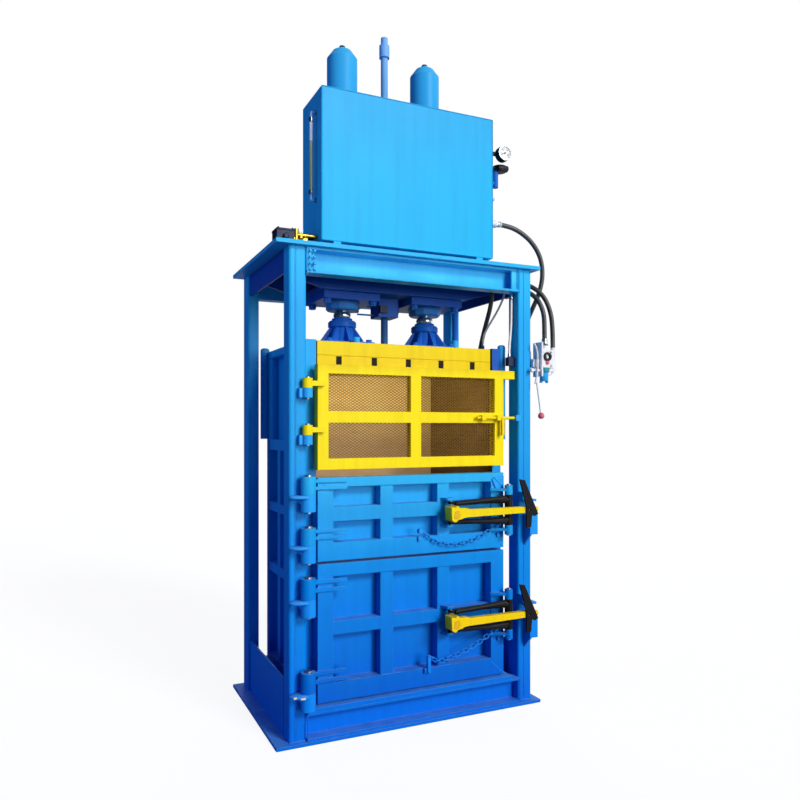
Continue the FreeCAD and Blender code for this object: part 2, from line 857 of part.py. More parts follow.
node(group(hose_block, *[block(mirror_span(sign, "%s - top_side_thick" % SIDE_OUT[side], SIDE_OUT[side]),
                               (COLUMN_FRONT_BACK, COLUMN_REAR_FACE),
                               ("%s - top_side_height" % TOP_UNDER, TOP_UNDER))
                         for side, sign in SIDES]), "top_side_beams")

# the crosshead hangs under the top plate: two haunched webs, with the cylinders' seat between
CROSS_LOW = "(%s - crosshead_height)" % TOP_UNDER
CROSS_END = "(%s - top_side_thick - crosshead_end_gap)" % SIDE_OUT["left"]
haunched = [("-%s" % CROSS_END, TOP_UNDER), ("-%s" % CROSS_END, "%s + crosshead_haunch" % CROSS_LOW),
            ("-crosshead_flat / 2", CROSS_LOW), ("crosshead_flat / 2", CROSS_LOW),
            (CROSS_END, "%s + crosshead_haunch" % CROSS_LOW), (CROSS_END, TOP_UNDER)]
webs = [prism("XZ", haunched, ("%s - crosshead_half" % CYL_Y, "%s - crosshead_half + crosshead_web" % CYL_Y)),
        prism("XZ", haunched, ("%s + crosshead_half - crosshead_web" % CYL_Y, "%s + crosshead_half" % CYL_Y))]
seat = block(("-crosshead_flat / 2", "crosshead_flat / 2"),
             ("%s - crosshead_half" % CYL_Y, "%s + crosshead_half" % CYL_Y),
             (CROSS_LOW, "%s + crosshead_seat" % CROSS_LOW))
seat_bores = [bar("Z", (CYL_X[side], CYL_Y), ("%s - 1" % CROSS_LOW, "%s + crosshead_seat + 1" % CROSS_LOW),
                  "barrel_radius + plate_clearance") for side in ("left", "right")]
seat_bores.append(bar("Z", ("0", CYL_Y), ("%s - 1" % CROSS_LOW, "%s + crosshead_seat + 1" % CROSS_LOW),
                      "pole_radius + top_bush_clearance"))
node(cut(join(seat, *webs), *seat_bores), "crosshead")

# the guide sleeve that the pole runs in, under the crosshead
SLEEVE_LOW = "(%s - sleeve_drop)" % CROSS_LOW
sleeve = block(("-sleeve_size / 2", "sleeve_size / 2"),
               ("%s - sleeve_size / 2" % CYL_Y, "%s + sleeve_size / 2" % CYL_Y), (SLEEVE_LOW, CROSS_LOW))
node(cut(sleeve, bar("Z", ("0", CYL_Y), ("%s - 1" % SLEEVE_LOW, "%s + 1" % CROSS_LOW),
                     "pole_radius + pole_fit")), "guide_sleeve")

# ---------------------------------------------------------------- chamber
CH_FRONT = "(-chamber_front)"
CH_BACK = "(chamber_back)"
CH_IN = "(chamber_width / 2)"
CH_SKIN = "(chamber_width / 2 + wall_thick)"
CH_OUT = "(chamber_width / 2 + wall_thick + wall_rib)"
FLOOR_UNDER = BEAM_TOP
SILL_TOP = "(%s + floor_sill)" % BEAM_TOP
FLOOR_TOP = "(%s + floor_raised)" % BEAM_TOP
sill = block(("-%s" % CH_OUT, CH_OUT), (BEAM_FRONT, COLUMN_REAR), (FLOOR_UNDER, SILL_TOP))
raised = block(("-%s" % CH_IN, CH_IN), (CH_FRONT, CH_BACK), (SILL_TOP, FLOOR_TOP))
bearers = [block(("(%d) * chamber_width / 3 - floor_bearer / 2" % i,
                  "(%d) * chamber_width / 3 + floor_bearer / 2" % i),
                 (BEAM_BACK, REAR_BEAM_IN), ("base_thick", FLOOR_UNDER)) for i in (-1, 0, 1)]
grooves = [block(("(%d) * strap_pitch - floor_groove / 2" % i, "(%d) * strap_pitch + floor_groove / 2" % i),
                 ("%s - 1" % CH_FRONT, "%s + 1" % CH_BACK),
                 ("%s - floor_groove_deep" % FLOOR_TOP, "%s + 1" % FLOOR_TOP)) for i in range(-2, 3)]
# a bearer lies under the sill as a separate rail of the same weldment
node(cut(join(sill, raised, *bearers), *grooves), "chamber_floor")

WALL_BANDS = ((SILL_TOP, "%s + rib_width" % SILL_TOP), ("lower_band", "lower_band + rib_width"),
              ("upper_band", "upper_band + rib_width"), ("feed_level - ledge_high", "feed_level"))
for side, sign in SIDES:
    skin = block(mirror_span(sign, CH_IN, CH_SKIN), (CH_FRONT, CH_BACK), (SILL_TOP, "feed_level"))
    ribs = [block(mirror_span(sign, CH_SKIN, CH_OUT), (CH_FRONT, CH_BACK), band) for band in WALL_BANDS]
    for i in range(4):
        start = "%s + (%d) * (chamber_front + chamber_back - rib_width) / 3" % (CH_FRONT, i)
        ribs.append(block(mirror_span(sign, CH_SKIN, CH_OUT), (start, "%s + rib_width" % start),
                          (SILL_TOP, "feed_level")))
    if side == "right":
        ribs.append(bar("Z", ("hose_foot_x", "-hose_foot_y"), ("feed_level", "feed_level + fitting_high"),
                        "fitting_radius"))
    node(join(skin, *ribs), "chamber_wall_" + side)

rear_skin = block(("-%s" % CH_SKIN, CH_SKIN), (CH_BACK, "%s + wall_thick" % CH_BACK), (SILL_TOP, "feed_top"))
REAR_RIB = ("%s + wall_thick" % CH_BACK, "%s + wall_thick + rear_rib" % CH_BACK)
rear_ribs = [block(("-%s" % CH_SKIN, CH_SKIN), REAR_RIB, band) for band in WALL_BANDS]
rear_ribs.append(block(("-%s" % CH_SKIN, CH_SKIN), REAR_RIB, ("feed_top - rear_rail_high", "feed_top")))
for i in range(4):
    start = "-%s + (%d) * (2 * %s - rib_width) / 3" % (CH_SKIN, i, CH_SKIN)
    rear_ribs.append(block((start, "%s + rib_width" % start), REAR_RIB, (SILL_TOP, "feed_top")))
node(join(rear_skin, *rear_ribs), "chamber_wall_rear")

# feed hopper sides above the chamber: a panel, a front post and a rounded rear post
for side, sign in SIDES:
    panel = block(mirror_span(sign, CH_IN, CH_SKIN), (CH_FRONT, CH_BACK), ("feed_level", "feed_top"))
    post = block(mirror_span(sign, CH_SKIN, CH_OUT), (CH_FRONT, "%s + feed_post_deep" % CH_FRONT),
                 ("feed_level", "feed_top"))
    rail = block(mirror_span(sign, CH_SKIN, CH_OUT), (CH_FRONT, "%s - rear_post_round" % CH_BACK),
                 ("feed_top - feed_rail_high", "feed_top"))
    x0, x1 = mirror_span(sign, CH_IN, CH_OUT)
    y0, y1 = "(%s - rear_post_deep)" % CH_BACK, CH_BACK
    rear_post = rounded(prism("XY", [(x0, y0), (x1, y0), (x1, y1), (x0, y1)], ("feed_level", "feed_top")),
                        upright, "rear_post_round")
    pieces = [panel, post, rail, rear_post]
    if side == "right":
        pieces.append(bar("Z", ("cable_foot_x", "-cable_foot_y"), ("feed_top", "feed_top + fitting_high"),
                          "gland_radius_small"))
    node(join(*pieces), "feed_side_" + side)

# ---------------------------------------------------------------- doors
DOOR_BACK = "(%s - door_clear)" % CH_FRONT
DOOR_FRONT = "(%s - door_deep)" % DOOR_BACK
RIB_FACE = "(%s + rib_setback)" % DOOR_FRONT
DOOR_L = "(-door_width / 2)"
DOOR_R = "(door_width / 2)"


def door_panel(low, top, top_rail, bottom_rail, mid_low, mid_high):
    """A grid of box ribs on a back skin: two stiles, two rails, two posts and a middle rail."""
    frame = (DOOR_FRONT, "%s - door_skin" % DOOR_BACK)
    inner = (RIB_FACE, "%s - door_skin" % DOOR_BACK)
    pieces = [block((DOOR_L, DOOR_R), ("%s - door_skin" % DOOR_BACK, DOOR_BACK), (low, top)),
              block((DOOR_L, "%s + door_stile" % DOOR_L), frame, (low, top)),
              block(("%s - door_stile" % DOOR_R, DOOR_R), frame, (low, top)),
              block((DOOR_L, DOOR_R), frame, (low, "%s + %s" % (low, bottom_rail))),
              block((DOOR_L, DOOR_R), frame, ("%s - %s" % (top, top_rail), top)),
              block((DOOR_L, DOOR_R), inner, (mid_low, "%s + %s" % (mid_low, mid_high)))]
    for i in (1, 2):
        start = "%s + door_stile + (%d) * door_bay + (%d) * door_rib" % (DOOR_L, i, i - 1)
        pieces.append(block((start, "%s + door_rib" % start), inner, (low, top)))
    return pieces


# hinges: the door's knuckle stands on the column's, round one pin
HX = "(-hinge_x)"
HY = "(-hinge_y)"
# each hinge: top of the door's knuckle, the line where the knuckles meet, foot of the column's
HINGES = {"upper": ("upper_hinge", "upper_low_hinge"), "lower": ("lower_hinge", "lower_low_hinge")}


def door_knuckle(name):
    """The door's half: a bored barrel with two tapered straps laid on the stile."""
    low, top = "(%s_meet + knuckle_gap)" % name, "(%s_top)" % name
    barrel = bar("Z", (HX, HY), (low, top), "knuckle_radius")
    strap = [(HX, "%s" % HY), (HX, "%s + strap_thick" % HY),
             (DOOR_L, "%s" % DOOR_FRONT), ("%s + strap_long" % DOOR_L, DOOR_FRONT),
             ("%s + strap_long" % DOOR_L, "%s - strap_thick" % DOOR_FRONT),
             (DOOR_L, "%s - strap_thick" % DOOR_FRONT)]
    fifth = "((%s - %s) / 5)" % (top, low)
    straps = [prism("XY", strap, ("%s + %s * (%d)" % (low, fifth, i), "%s + %s * (%d)" % (low, fifth, i + 1)))
              for i in (1, 3)]
    bore = bar("Z", (HX, HY), ("%s - 1" % low, "%s + 1" % top), "hinge_pin_radius + pin_fit")
    return cut(join(barrel, *straps), bore)


def column_knuckle(name):
    """The column's half: a barrel on a curved wing and an upright web."""
    low, top = "(%s_foot)" % name, "(%s_meet)" % name
    barrel = bar("Z", (HX, HY), (low, top), "knuckle_radius")
    middle = "((%s + %s) / 2)" % (low, top)
    wing = [("%s - wing_width" % HX, COLUMN_FRONT),
            ("%s - wing_width + wing_gusset" % HX, "%s - strap_thick" % COLUMN_FRONT),
            ("%s - wing_gusset" % HX, HY), (HX, "%s - knuckle_radius + wing_lap" % HY), (HX, COLUMN_FRONT)]
    plate = prism("XY", wing, (middle, "%s + wing_thick" % middle))
    web = block(("%s - wing_thick" % HX, HX), (HY, COLUMN_FRONT), (low, top))
    bore = bar("Z", (HX, HY), ("%s - 1" % low, "%s + 1" % top), "hinge_pin_radius")
    return cut(join(barrel, plate, web), bore)


def hinge_pin(name):
    """A headed pin, tight in the column's knuckle and running in the door's."""
    low, top = "%s_foot - hinge_pin_over" % name, "%s_top + knuckle_gap" % name
    shaft = bar("Z", (HX, HY), (low, top), "hinge_pin_radius")
    head = bar("Z", (HX, HY), (top, "%s + hinge_pin_over" % top), "hinge_pin_radius + hinge_head_lip")
    return join(shaft, head)


# ---------------------------------------------------------------- latches
# each door has a chain, welded at both ends to small bosses
# A black link swings on a pin at the door's edge and carries the yellow bar at its far end.
PX = "(latch_pin_x)"
PY = "(-latch_pin_y)"
KX = "(knee_x)"
BARREL_HALF = "(latch_ear_inner - end_play)"
BAR_FRONT = "(%s - latch_bar_front)" % PY
BAR_BACK = "(%s + latch_bar_deep)" % BAR_FRONT
LEVER_BACK = "(%s - lever_gap)" % BAR_FRONT
LEVER_FRONT = "(%s - lever_thick)" % LEVER_BACK


def latch_ears(z):
    """Ears on the door: a pair of barrels for the pin, and a pair of plates at the knee."""
    pieces = []
    for sign in (1, -1):
        inner, outer = "%s + (%d) * latch_ear_inner" % (z, sign), "%s + (%d) * latch_pin_half" % (z, sign)
        span = (inner, outer) if sign > 0 else (outer, inner)
        barrel = bar("Z", (PX, PY), span, "latch_barrel_radius")
        middle = "(%s + (%d) * (latch_ear_inner + latch_pin_half) / 2)" % (z, sign)
        arm = [("%s - latch_arm_long" % DOOR_R, DOOR_FRONT),
               ("%s - latch_arm_long" % DOOR_R, "%s - latch_arm_foot" % DOOR_FRONT),
               ("%s - latch_arm_tip" % PX, "%s - latch_barrel_radius + latch_arm_set" % PY),
               (PX, PY), (DOOR_R, DOOR_FRONT)]
        arm_plate = prism("XY", arm, ("%s - latch_ear_thick / 2" % middle, "%s + latch_ear_thick / 2" % middle))
        bore = bar("Z", (PX, PY), ("%s - 1" % span[0], "%s + 1" % span[1]), "latch_pin_radius + pin_fit")
        pieces.append(cut(join(barrel, arm_plate), bore))
        near = "(%s + (%d) * knee_ear_rise)" % (z, sign)
        far = "(%s + (%d) * (knee_ear_rise + knee_ear_thick))" % (z, sign)
        plate = [("%s - knee_ear_foot" % KX, RIB_FACE),
                 ("%s - knee_ear_left" % KX, "%s - knee_ear_out" % DOOR_FRONT),
                 ("%s + knee_ear_right" % KX, "%s - knee_ear_out" % DOOR_FRONT),
                 ("%s + knee_ear_foot" % KX, RIB_FACE)]
        pieces.append(prism("XY", plate, (near, far) if sign > 0 else (far, near)))
    return pieces


def latch_link(z):
    """The black yoke: a barrel on the door's pin, and two tapered arms that end in eyes."""
    barrel_span = ("%s - %s" % (z, BARREL_HALF), "%s + %s" % (z, BARREL_HALF))
    pieces = [bar("Z", (PX, PY), barrel_span, "latch_barrel_radius")]
    for sign in (1, -1):
        near = "(%s + (%d) * (knee_block_half + running_gap))" % (z, sign)
        far = "(%s + (%d) * (knee_block_half + running_gap + knee_eye_thick))" % (z, sign)
        pieces.append(bar("Z", (KX, PY), (near, far) if sign > 0 else (far, near), "knee_eye_radius"))
        arm = doc.addObject("Part::Cone", "arm")
        tie(arm, Radius1="arm_thin", Radius2="arm_fat", Height="latch_pin_x - knee_x")
        arm.Placement.Rotation = TURNS["X"]
        place(arm, KX, PY,
              "%s + (%d) * (knee_block_half + running_gap + knee_eye_thick / 2 + arm_lift)" % (z, sign))
        pieces.append(arm)
    through = ("%s - 1" % barrel_span[0], "%s + 1" % barrel_span[1])
    bore = bar("Z", (PX, PY), through, "latch_pin_radius")
    eyes = bar("Z", (KX, PY), through, "knee_pin_radius")
    return cut(join(*pieces), bore, eyes)


def latch_pins(z):
    """The pivot pin at the door's edge and the knee pin, both held by the link."""
    pivot = bar("Z", (PX, PY), ("%s - latch_pin_half - latch_pin_over" % z,
                               "%s + latch_pin_half + latch_pin_over" % z), "latch_pin_radius")
    knee = bar("Z", (KX, PY), ("%s - knee_block_half - knee_eye_thick - knee_pin_over" % z,
                             "%s + knee_block_half + knee_eye_thick + knee_pin_over" % z), "knee_pin_radius")
    return group(pivot, knee)


def latch_bar(z):
    """The yellow bar: an end block on the knee pin, a channel and a round tip."""
    head = block(("%s - knee_block_long / 2" % KX, "%s + knee_block_long / 2" % KX),
                 ("%s - knee_block_front" % PY, "%s + knee_block_back" % PY),
                 ("%s - knee_block_half" % z, "%s + knee_block_half" % z))
    shaft = block(("%s + knee_block_long / 2" % KX, "latch_bar_end"), (BAR_FRONT, BAR_BACK),
                  ("%s - latch_bar_half" % z, "%s + latch_bar_half" % z))
    hollow = block(("%s + knee_block_long / 2 + latch_bar_cap" % KX, "latch_bar_end - latch_bar_cap"),
                   ("%s + latch_bar_wall" % BAR_FRONT, "%s + 1" % BAR_BACK),
                   ("%s - latch_bar_half + latch_bar_wall" % z, "%s + latch_bar_half - latch_bar_wall" % z))
    tip = bar("X", ("(%s + %s) / 2" % (BAR_FRONT, BAR_BACK), z), ("latch_bar_end", "latch_tip_end"),
              "latch_bar_deep / 2")
    bore = bar("Z", (KX, PY), ("%s - knee_block_half - 1" % z, "%s + knee_block_half + 1" % z),
               "knee_pin_radius + pin_fit")
    pin = bar("Y", ("latch_bar_end - lever_pin_in", z),
              ("%s - lever_pin_over" % LEVER_FRONT, "%s + latch_bar_wall" % BAR_FRONT), "lever_pin_radius")
    return join(cut(join(head, shaft), hollow, bore), tip, pin)


def latch_lever(z):
    """The black lever on the bar's end: a long handle and a short leg beside it."""
    cx = "(latch_bar_end - lever_pin_in)"
    handle = [("%s - handle_top_left" % cx, "%s + handle_rise" % z),
              ("%s - handle_top_right" % cx, "%s + handle_shoulder" % z),
              ("%s + handle_heel_right" % cx, "%s - handle_heel_in" % z),
              ("%s + handle_heel_left" % cx, "%s - handle_heel_drop" % z),
              ("%s - handle_waist" % cx, "%s - handle_waist_drop" % z)]
    leg = [("%s - leg_foot_left" % cx, "%s - leg_drop" % z), ("%s + leg_foot_right" % cx, "%s - leg_drop" % z),
           ("%s + leg_head_right" % cx, "%s + leg_rise" % z), ("%s - leg_head_left" % cx, "%s + leg_rise" % z)]
    plates = [prism("XZ", shape, (LEVER_FRONT, LEVER_BACK)) for shape in (handle, leg)]
    return cut(join(*plates), bar("Y", (cx, z), ("%s - 1" % LEVER_FRONT, "%s + 1" % LEVER_BACK),
                                  "lever_pin_radius + pin_fit"))


def latch_keeper(z):
    """The column's catch, open to the front: an ear above the bar and a wing below it."""
    left, right = "(%s - keeper_width)" % OUT["right"], OUT["right"]
    front = "(%s - keeper_front)" % COLUMN_FRONT
    wing = [(COLUMN_FRONT, "%s - keeper_wing_top" % z), (front, "%s - keeper_wing_top" % z),
            (front, "%s - keeper_wing_front" % z), (COLUMN_FRONT, "%s - keeper_wing_back" % z)]
    side_plate = prism("YZ", wing, (left, "%s + keeper_thick" % left))
    strip = block((left, right), (front, "%s + keeper_thick" % front),
                  ("%s - keeper_wing_front" % z, "%s - keeper_wing_top" % z))
    ear_low = "(%s + keeper_ear_rise)" % z
    ear = block(("%s + keeper_ear_in" % IN["right"], right), ("%s + keeper_thick" % front, COLUMN_FRONT),
                (ear_low, "%s + keeper_ear_thick" % ear_low))
    ear_in = "(%s + keeper_ear_in)" % IN["right"]
    upright_ear = block((ear_in, "%s + keeper_thick" % ear_in), ("%s + keeper_ear_step" % front, COLUMN_FRONT),
                        (ear_low, "%s + keeper_ear_high" % ear_low))
    return [join(side_plate, strip), join(ear, upright_ear)]


for name, low, top, rails, z in (
        ("lower", "lower_door_low", "lower_door_top",
         ("lower_top_rail", "lower_bottom_rail", "lower_mid_rail", "lower_mid_high"), "lower_latch_z"),
        ("upper", "upper_door_low", "upper_door_top",
         ("upper_top_rail", "upper_bottom_rail", "upper_mid_rail", "upper_mid_high"), "upper_latch_z")):
    welded = [join(*door_panel(low, top, *rails))] + latch_ears(z)
    welded.extend(door_knuckle(hinge) for hinge in HINGES[name])
    for end in ("left", "right"):
        x, height = "%s_chain_%s" % (name, end), "%s_chain_%s_z" % (name, end)
        near, far = "chain_boss_near", "chain_boss_far"
        across = ("%s - %s" % (x, far), "%s - %s" % (x, near)) if end == "left" else (
            "%s + %s" % (x, near), "%s + %s" % (x, far))
        welded.append(block(across, ("%s - chain_boss" % DOOR_FRONT, DOOR_FRONT),
                            ("%s - chain_boss_half" % height, "%s + chain_boss_half" % height)))
    node(group(*welded), name + "_door")
    node(latch_link(z), name + "_latch_link")
    node(latch_pins(z), name + "_latch_pins")
    node(latch_bar(z), name + "_latch_bar")
    node(latch_lever(z), name + "_latch_lever")
node(group(*(latch_keeper("lower_latch_z") + latch_keeper("upper_latch_z"))), "latch_keepers")

# ---------------------------------------------------------------- mesh door
MY = "(-mesh_hinge_y)"
MESH_FRONT = DOOR_FRONT
MESH_BACK = "(%s + mesh_deep)" % MESH_FRONT
deep = (MESH_FRONT, MESH_BACK)
whole = block((DOOR_L, DOOR_R), deep, ("mesh_low", "mesh_top"))
panes = []
for x_span in (("%s + mesh_stile" % DOOR_L, "-mesh_centre / 2"), ("mesh_centre / 2", "%s - mesh_stile" % DOOR_R)):
    for z_span in (("mesh_low + mesh_bottom_rail", "mesh_mid_low"),
                   ("mesh_mid_low + mesh_mid_high", "mesh_top - mesh_top_rail")):
        panes.append(block(x_span, ("%s - 1" % MESH_FRONT, "%s + 1" % MESH_BACK), z_span))
mesh_pieces, mesh_bores = [cut(whole, *panes)], []
brackets, pins = [], []
for name in ("mesh_hinge", "mesh_low_hinge"):
    low, top = "(%s_meet + knuckle_gap)" % name, "(%s_top)" % name
    mesh_pieces.append(bar("Z", (HX, MY), (low, top), "mesh_knuckle_radius"))
    mesh_pieces.append(block(("%s + mesh_arm_in" % HX, "%s + mesh_arm_lap" % DOOR_L),
                             ("%s - mesh_arm" % MESH_FRONT, MESH_FRONT),
                             ("%s + mesh_arm_rise" % low, "%s - mesh_arm_drop" % top)))
    mesh_bores.append(bar("Z", (HX, MY), ("%s - 1" % low, "%s + 1" % top), "mesh_pin_radius + pin_fit"))
    foot, meet = "(%s_foot)" % name, "(%s_meet)" % name
    lug = join(bar("Z", (HX, MY), (foot, meet), "mesh_knuckle_radius"),
               block(("%s - mesh_lug_wide" % HX, HX), (MY, COLUMN_FRONT), (foot, meet)))
    brackets.append(cut(lug, bar("Z", (HX, MY), ("%s - 1" % foot, "%s + 1" % meet), "mesh_pin_radius")))
    pins.append(join(bar("Z", (HX, MY), ("%s - mesh_pin_over" % foot, "%s + knuckle_gap" % top),
                         "mesh_pin_radius"),
                     bar("Z", (HX, MY), ("%s + knuckle_gap" % top, "%s + mesh_head_high" % top),
                         "mesh_pin_radius + mesh_head_lip")))
mesh_pieces.append(block((DOOR_R, "%s + stub_long" % DOOR_R), (MESH_FRONT, "%s + stub_deep" % MESH_FRONT),
                         ("mesh_top - mesh_top_rail", "mesh_top")))

# slide bolt on the middle rail, and its receiver on the column
BOLT_Y = "(%s - bolt_out)" % MESH_FRONT
BOLT_Z = "(mesh_mid_low + mesh_mid_high / 2)"
BOLT_END = "(%s - bolt_to_column)" % IN["right"]
for start in ("bolt_left + guide_in", "%s - guide_right_in" % DOOR_R):
    across = (start, "%s + guide_long" % start)
    mesh_pieces.append(block(across, ("%s - bolt_radius - guide_wall" % BOLT_Y, MESH_FRONT),
                             ("%s - bolt_radius - guide_wall" % BOLT_Z, "%s + bolt_radius + guide_wall" % BOLT_Z)))
    mesh_bores.append(bar("X", (BOLT_Y, BOLT_Z), ("%s - 1" % across[0], "%s + 1" % across[1]),
                          "bolt_radius + bolt_fit"))
node(cut(join(*mesh_pieces), *mesh_bores), "mesh_door_frame")
bolt = bar("X", (BOLT_Y, BOLT_Z), ("bolt_left", BOLT_END), "bolt_radius")
HANDLE_X = "(%s - handle_in)" % DOOR_R
handle = block(("%s - handle_wide / 2" % HANDLE_X, "%s + handle_wide / 2" % HANDLE_X),
               ("%s - bolt_radius - guide_wall" % BOLT_Y, BOLT_Y),
               ("%s - handle_drop" % BOLT_Z, BOLT_Z))
node(join(bolt, handle), "mesh_bolt")
receiver = block((BOLT_END, IN["right"]), ("%s - slot_half - guide_wall" % BOLT_Y, MESH_FRONT),
                 ("%s - slot_half - guide_wall" % BOLT_Z, "%s + slot_half + guide_wall" % BOLT_Z))

# expanded metal: a sheet with staggered diamond openings behind each pane


def holed(wires, push):
    """A face bounded by the first wire, holed by the others, given a thickness."""
    return Part.makeFace(wires, "Part::FaceMakerBullseye").extrude(push)


def mesh_sheet(x_span, z_span):
    """One pane's sheet; the openings repeat over the space that the pane has."""
    x0, x1 = number(x_span[0]), number(x_span[1])
    z0, z1 = number(z_span[0]), number(z_span[1])
    wide, high, margin = SIZES["diamond_wide"], SIZES["diamond_high"], SIZES["mesh_margin"]
    open_part = 1 - SIZES["strand"] * math.hypot(wide, high) / (wide * high)
    y = number("%s + mesh_inset" % MESH_FRONT)
    edge = [Vector(x0, y, z0), Vector(x1, y, z0), Vector(x1, y, z1), Vector(x0, y, z1)]
    wires = [Part.makePolygon(edge + edge[:1])]
    columns, rows = int((x1 - x0 - 2 * margin) // wide), int((z1 - z0 - 2 * margin) // high)
    left, foot = (x0 + x1 - columns * wide) / 2, (z0 + z1 - rows * high) / 2
    for row in range(2 * rows - 1):
        for i in range(columns - row % 2):
            middle = Vector(left + wide * (i + 0.5 + 0.5 * (row % 2)), y, foot + high * (row + 1) / 2)
            across, up = Vector(wide * open_part / 2, 0, 0), Vector(0, 0, high * open_part / 2)
            spots = [middle - across, middle - up, middle + across, middle + up]
            wires.append(Part.makePolygon(spots + spots[:1]))
    return holed(wires, Vector(0, SIZES["mesh_thick"], 0))


sheets = []
for x_span in (("%s + mesh_stile" % DOOR_L, "-mesh_centre / 2"), ("mesh_centre / 2", "%s - mesh_stile" % DOOR_R)):
    for z_span in (("mesh_low + mesh_bottom_rail", "mesh_mid_low"),
                   ("mesh_mid_low + mesh_mid_high", "mesh_top - mesh_top_rail")):
        sheets.append(mesh_sheet(x_span, z_span))
mesh_panels = doc.addObject("Part::Feature", "mesh_panels")
mesh_panels.Shape = Part.makeCompound(sheets)
node(mesh_panels, "mesh_panels")

for pair in HINGES.values():
    for name in pair:
        brackets.append(column_knuckle(name))
        pins.append(hinge_pin(name))
brackets.append(cut(receiver, block(("%s - 1" % BOLT_END, "%s + 1" % IN["right"]),
                                    ("%s - slot_half" % BOLT_Y, "%s + slot_half" % BOLT_Y),
                                    ("%s - slot_half" % BOLT_Z, "%s + slot_half" % BOLT_Z))))
node(group(*brackets), "hinge_brackets")
node(group(*pins), "hinge_pins")

# ---------------------------------------------------------------- press
FLANGE_TOP = CROSS_LOW
FLANGE_LOW = "(%s - flange_thick)" % CROSS_LOW
GLAND_LOW = "(%s - gland_drop)" % FLANGE_LOW
PLATEN_TOP = "(platen_top)"
MOUNT_FLANGE_TOP = "(platen_top + mount_thick)"
for side in ("left", "right"):
    x = CYL_X[side]
    barrel = turned(x, CYL_Y, [("0", GLAND_LOW), ("gland_radius", GLAND_LOW), ("gland_radius", FLANGE_LOW),
                               ("gland_radius + gland_lip", FLANGE_LOW), ("gland_radius + gland_lip", FLANGE_TOP),
                               ("barrel_radius", FLANGE_TOP),
                               ("barrel_radius", "shoulder_z"), ("cap_radius", "cap_z"), ("nub_radius", "cap_z"),
                               ("nub_radius", "nub_z"), ("0", "nub_z")])
    flange = block(("%s - flange_size / 2" % x, "%s + flange_size / 2" % x),
                   ("%s - flange_size / 2" % CYL_Y, "%s + flange_size / 2" % CYL_Y), (FLANGE_LOW, FLANGE_TOP))
    bolts = [bar("Z", ("%s + (%d) * (flange_size / 2 - flange_bolt_inset)" % (x, i),
                       "%s + (%d) * (flange_size / 2 - flange_bolt_inset)" % (CYL_Y, j)),
                 ("%s - bolt_head_high" % FLANGE_LOW, FLANGE_LOW), "flange_bolt_head")
             for i in (-1, 1) for j in (-1, 1)]
    hollow = bar("Z", (x, CYL_Y), ("%s + barrel_lead" % FLANGE_TOP, "shoulder_z - barrel_lead"), "barrel_bore")
    rod_hole = bar("Z", (x, CYL_Y), ("%s - 1" % GLAND_LOW, "%s + barrel_lead + 1" % FLANGE_TOP),
                   "rod_radius + rod_fit")
    node(cut(join(barrel, flange, *bolts), hollow, rod_hole), "cylinder_" + side)
    PISTON_TOP = "(shoulder_z - barrel_lead - piston_clear)"
    rod = turned(x, CYL_Y, [("0", "mount_top"), ("rod_radius", "mount_top"),
                            ("rod_radius", "%s - piston_long" % PISTON_TOP),
                            ("barrel_bore - piston_fit", "%s - piston_long" % PISTON_TOP),
                            ("barrel_bore - piston_fit", PISTON_TOP), ("0", PISTON_TOP)])
    node(rod, "piston_rod_" + side)

    foot = block(("%s - mount_flange / 2" % x, "%s + mount_flange / 2" % x),
                 ("%s - mount_flange / 2" % CYL_Y, "%s + mount_flange / 2" % CYL_Y), (PLATEN_TOP, MOUNT_FLANGE_TOP))
    boss = taper("Z", (x, CYL_Y), (MOUNT_FLANGE_TOP, "mount_top"), "mount_cone_low", "mount_cone_top")
    ribs = []
    for angle in range(0, 360, 45):
        rib = prism("XZ", [("0", MOUNT_FLANGE_TOP), ("mount_rib_out", MOUNT_FLANGE_TOP),
                           ("mount_rib_out", "%s + mount_rib_foot" % MOUNT_FLANGE_TOP),
                           ("mount_cone_top - mount_rib_lap", "mount_top - mount_rib_drop"),
                           ("0", "mount_top - mount_rib_drop")],
                    ("-mount_rib_thick / 2", "mount_rib_thick / 2"))
        rib.Placement.Rotation = Rotation(Vector(0, 0, 1), angle)
        place(rib, x, CYL_Y, "0")
        ribs.append(rib)
    heads = [bar("Z", ("%s + (%d) * (mount_flange / 2 - mount_bolt_inset)" % (x, i),
                       "%s + (%d) * (mount_flange / 2 - mount_bolt_inset)" % (CYL_Y, j)),
                 (MOUNT_FLANGE_TOP, "%s + bolt_head_high" % MOUNT_FLANGE_TOP), "flange_bolt_head")
             for i in (-1, 1) for j in (-1, 1)]
    node(join(foot, boss, *(ribs + heads)), "rod_mount_" + side)

# platen: a ribbed box with strap channels along its face
PL = "(platen_width / 2)"
PF = "(%s + platen_clear)" % CH_FRONT
PB = "(%s - platen_clear)" % CH_BACK
face_plate = block(("-%s" % PL, PL), (PF, PB), ("platen_low", "platen_low + platen_face"))
front_bar = block(("-%s" % PL, PL), (PF, "%s + platen_beam_deep" % PF), ("platen_low + platen_face", PLATEN_TOP))
rear_bar = block(("-%s" % PL, PL), ("%s - platen_beam_deep" % PB, PB), ("platen_low + platen_face", PLATEN_TOP))
centre_deck = block(("-%s" % PL, PL), ("%s - mount_flange / 2 - deck_edge" % CYL_Y,
                                            "%s + mount_flange / 2 + deck_edge" % CYL_Y),
                    ("platen_low + platen_face", PLATEN_TOP))
side_bars = [block(mirror_span(sign, "%s - platen_beam_deep / 2" % PL, PL), (PF, PB),
                   ("platen_low + platen_face", PLATEN_TOP)) for side, sign in SIDES]
slots = [block(("(%d) * strap_pitch - platen_slot / 2" % i, "(%d) * strap_pitch + platen_slot / 2" % i),
               ("%s - 1" % PF, "%s + 1" % PB), ("platen_low - 1", "platen_low + platen_slot_high"))
         for i in range(-2, 3)]
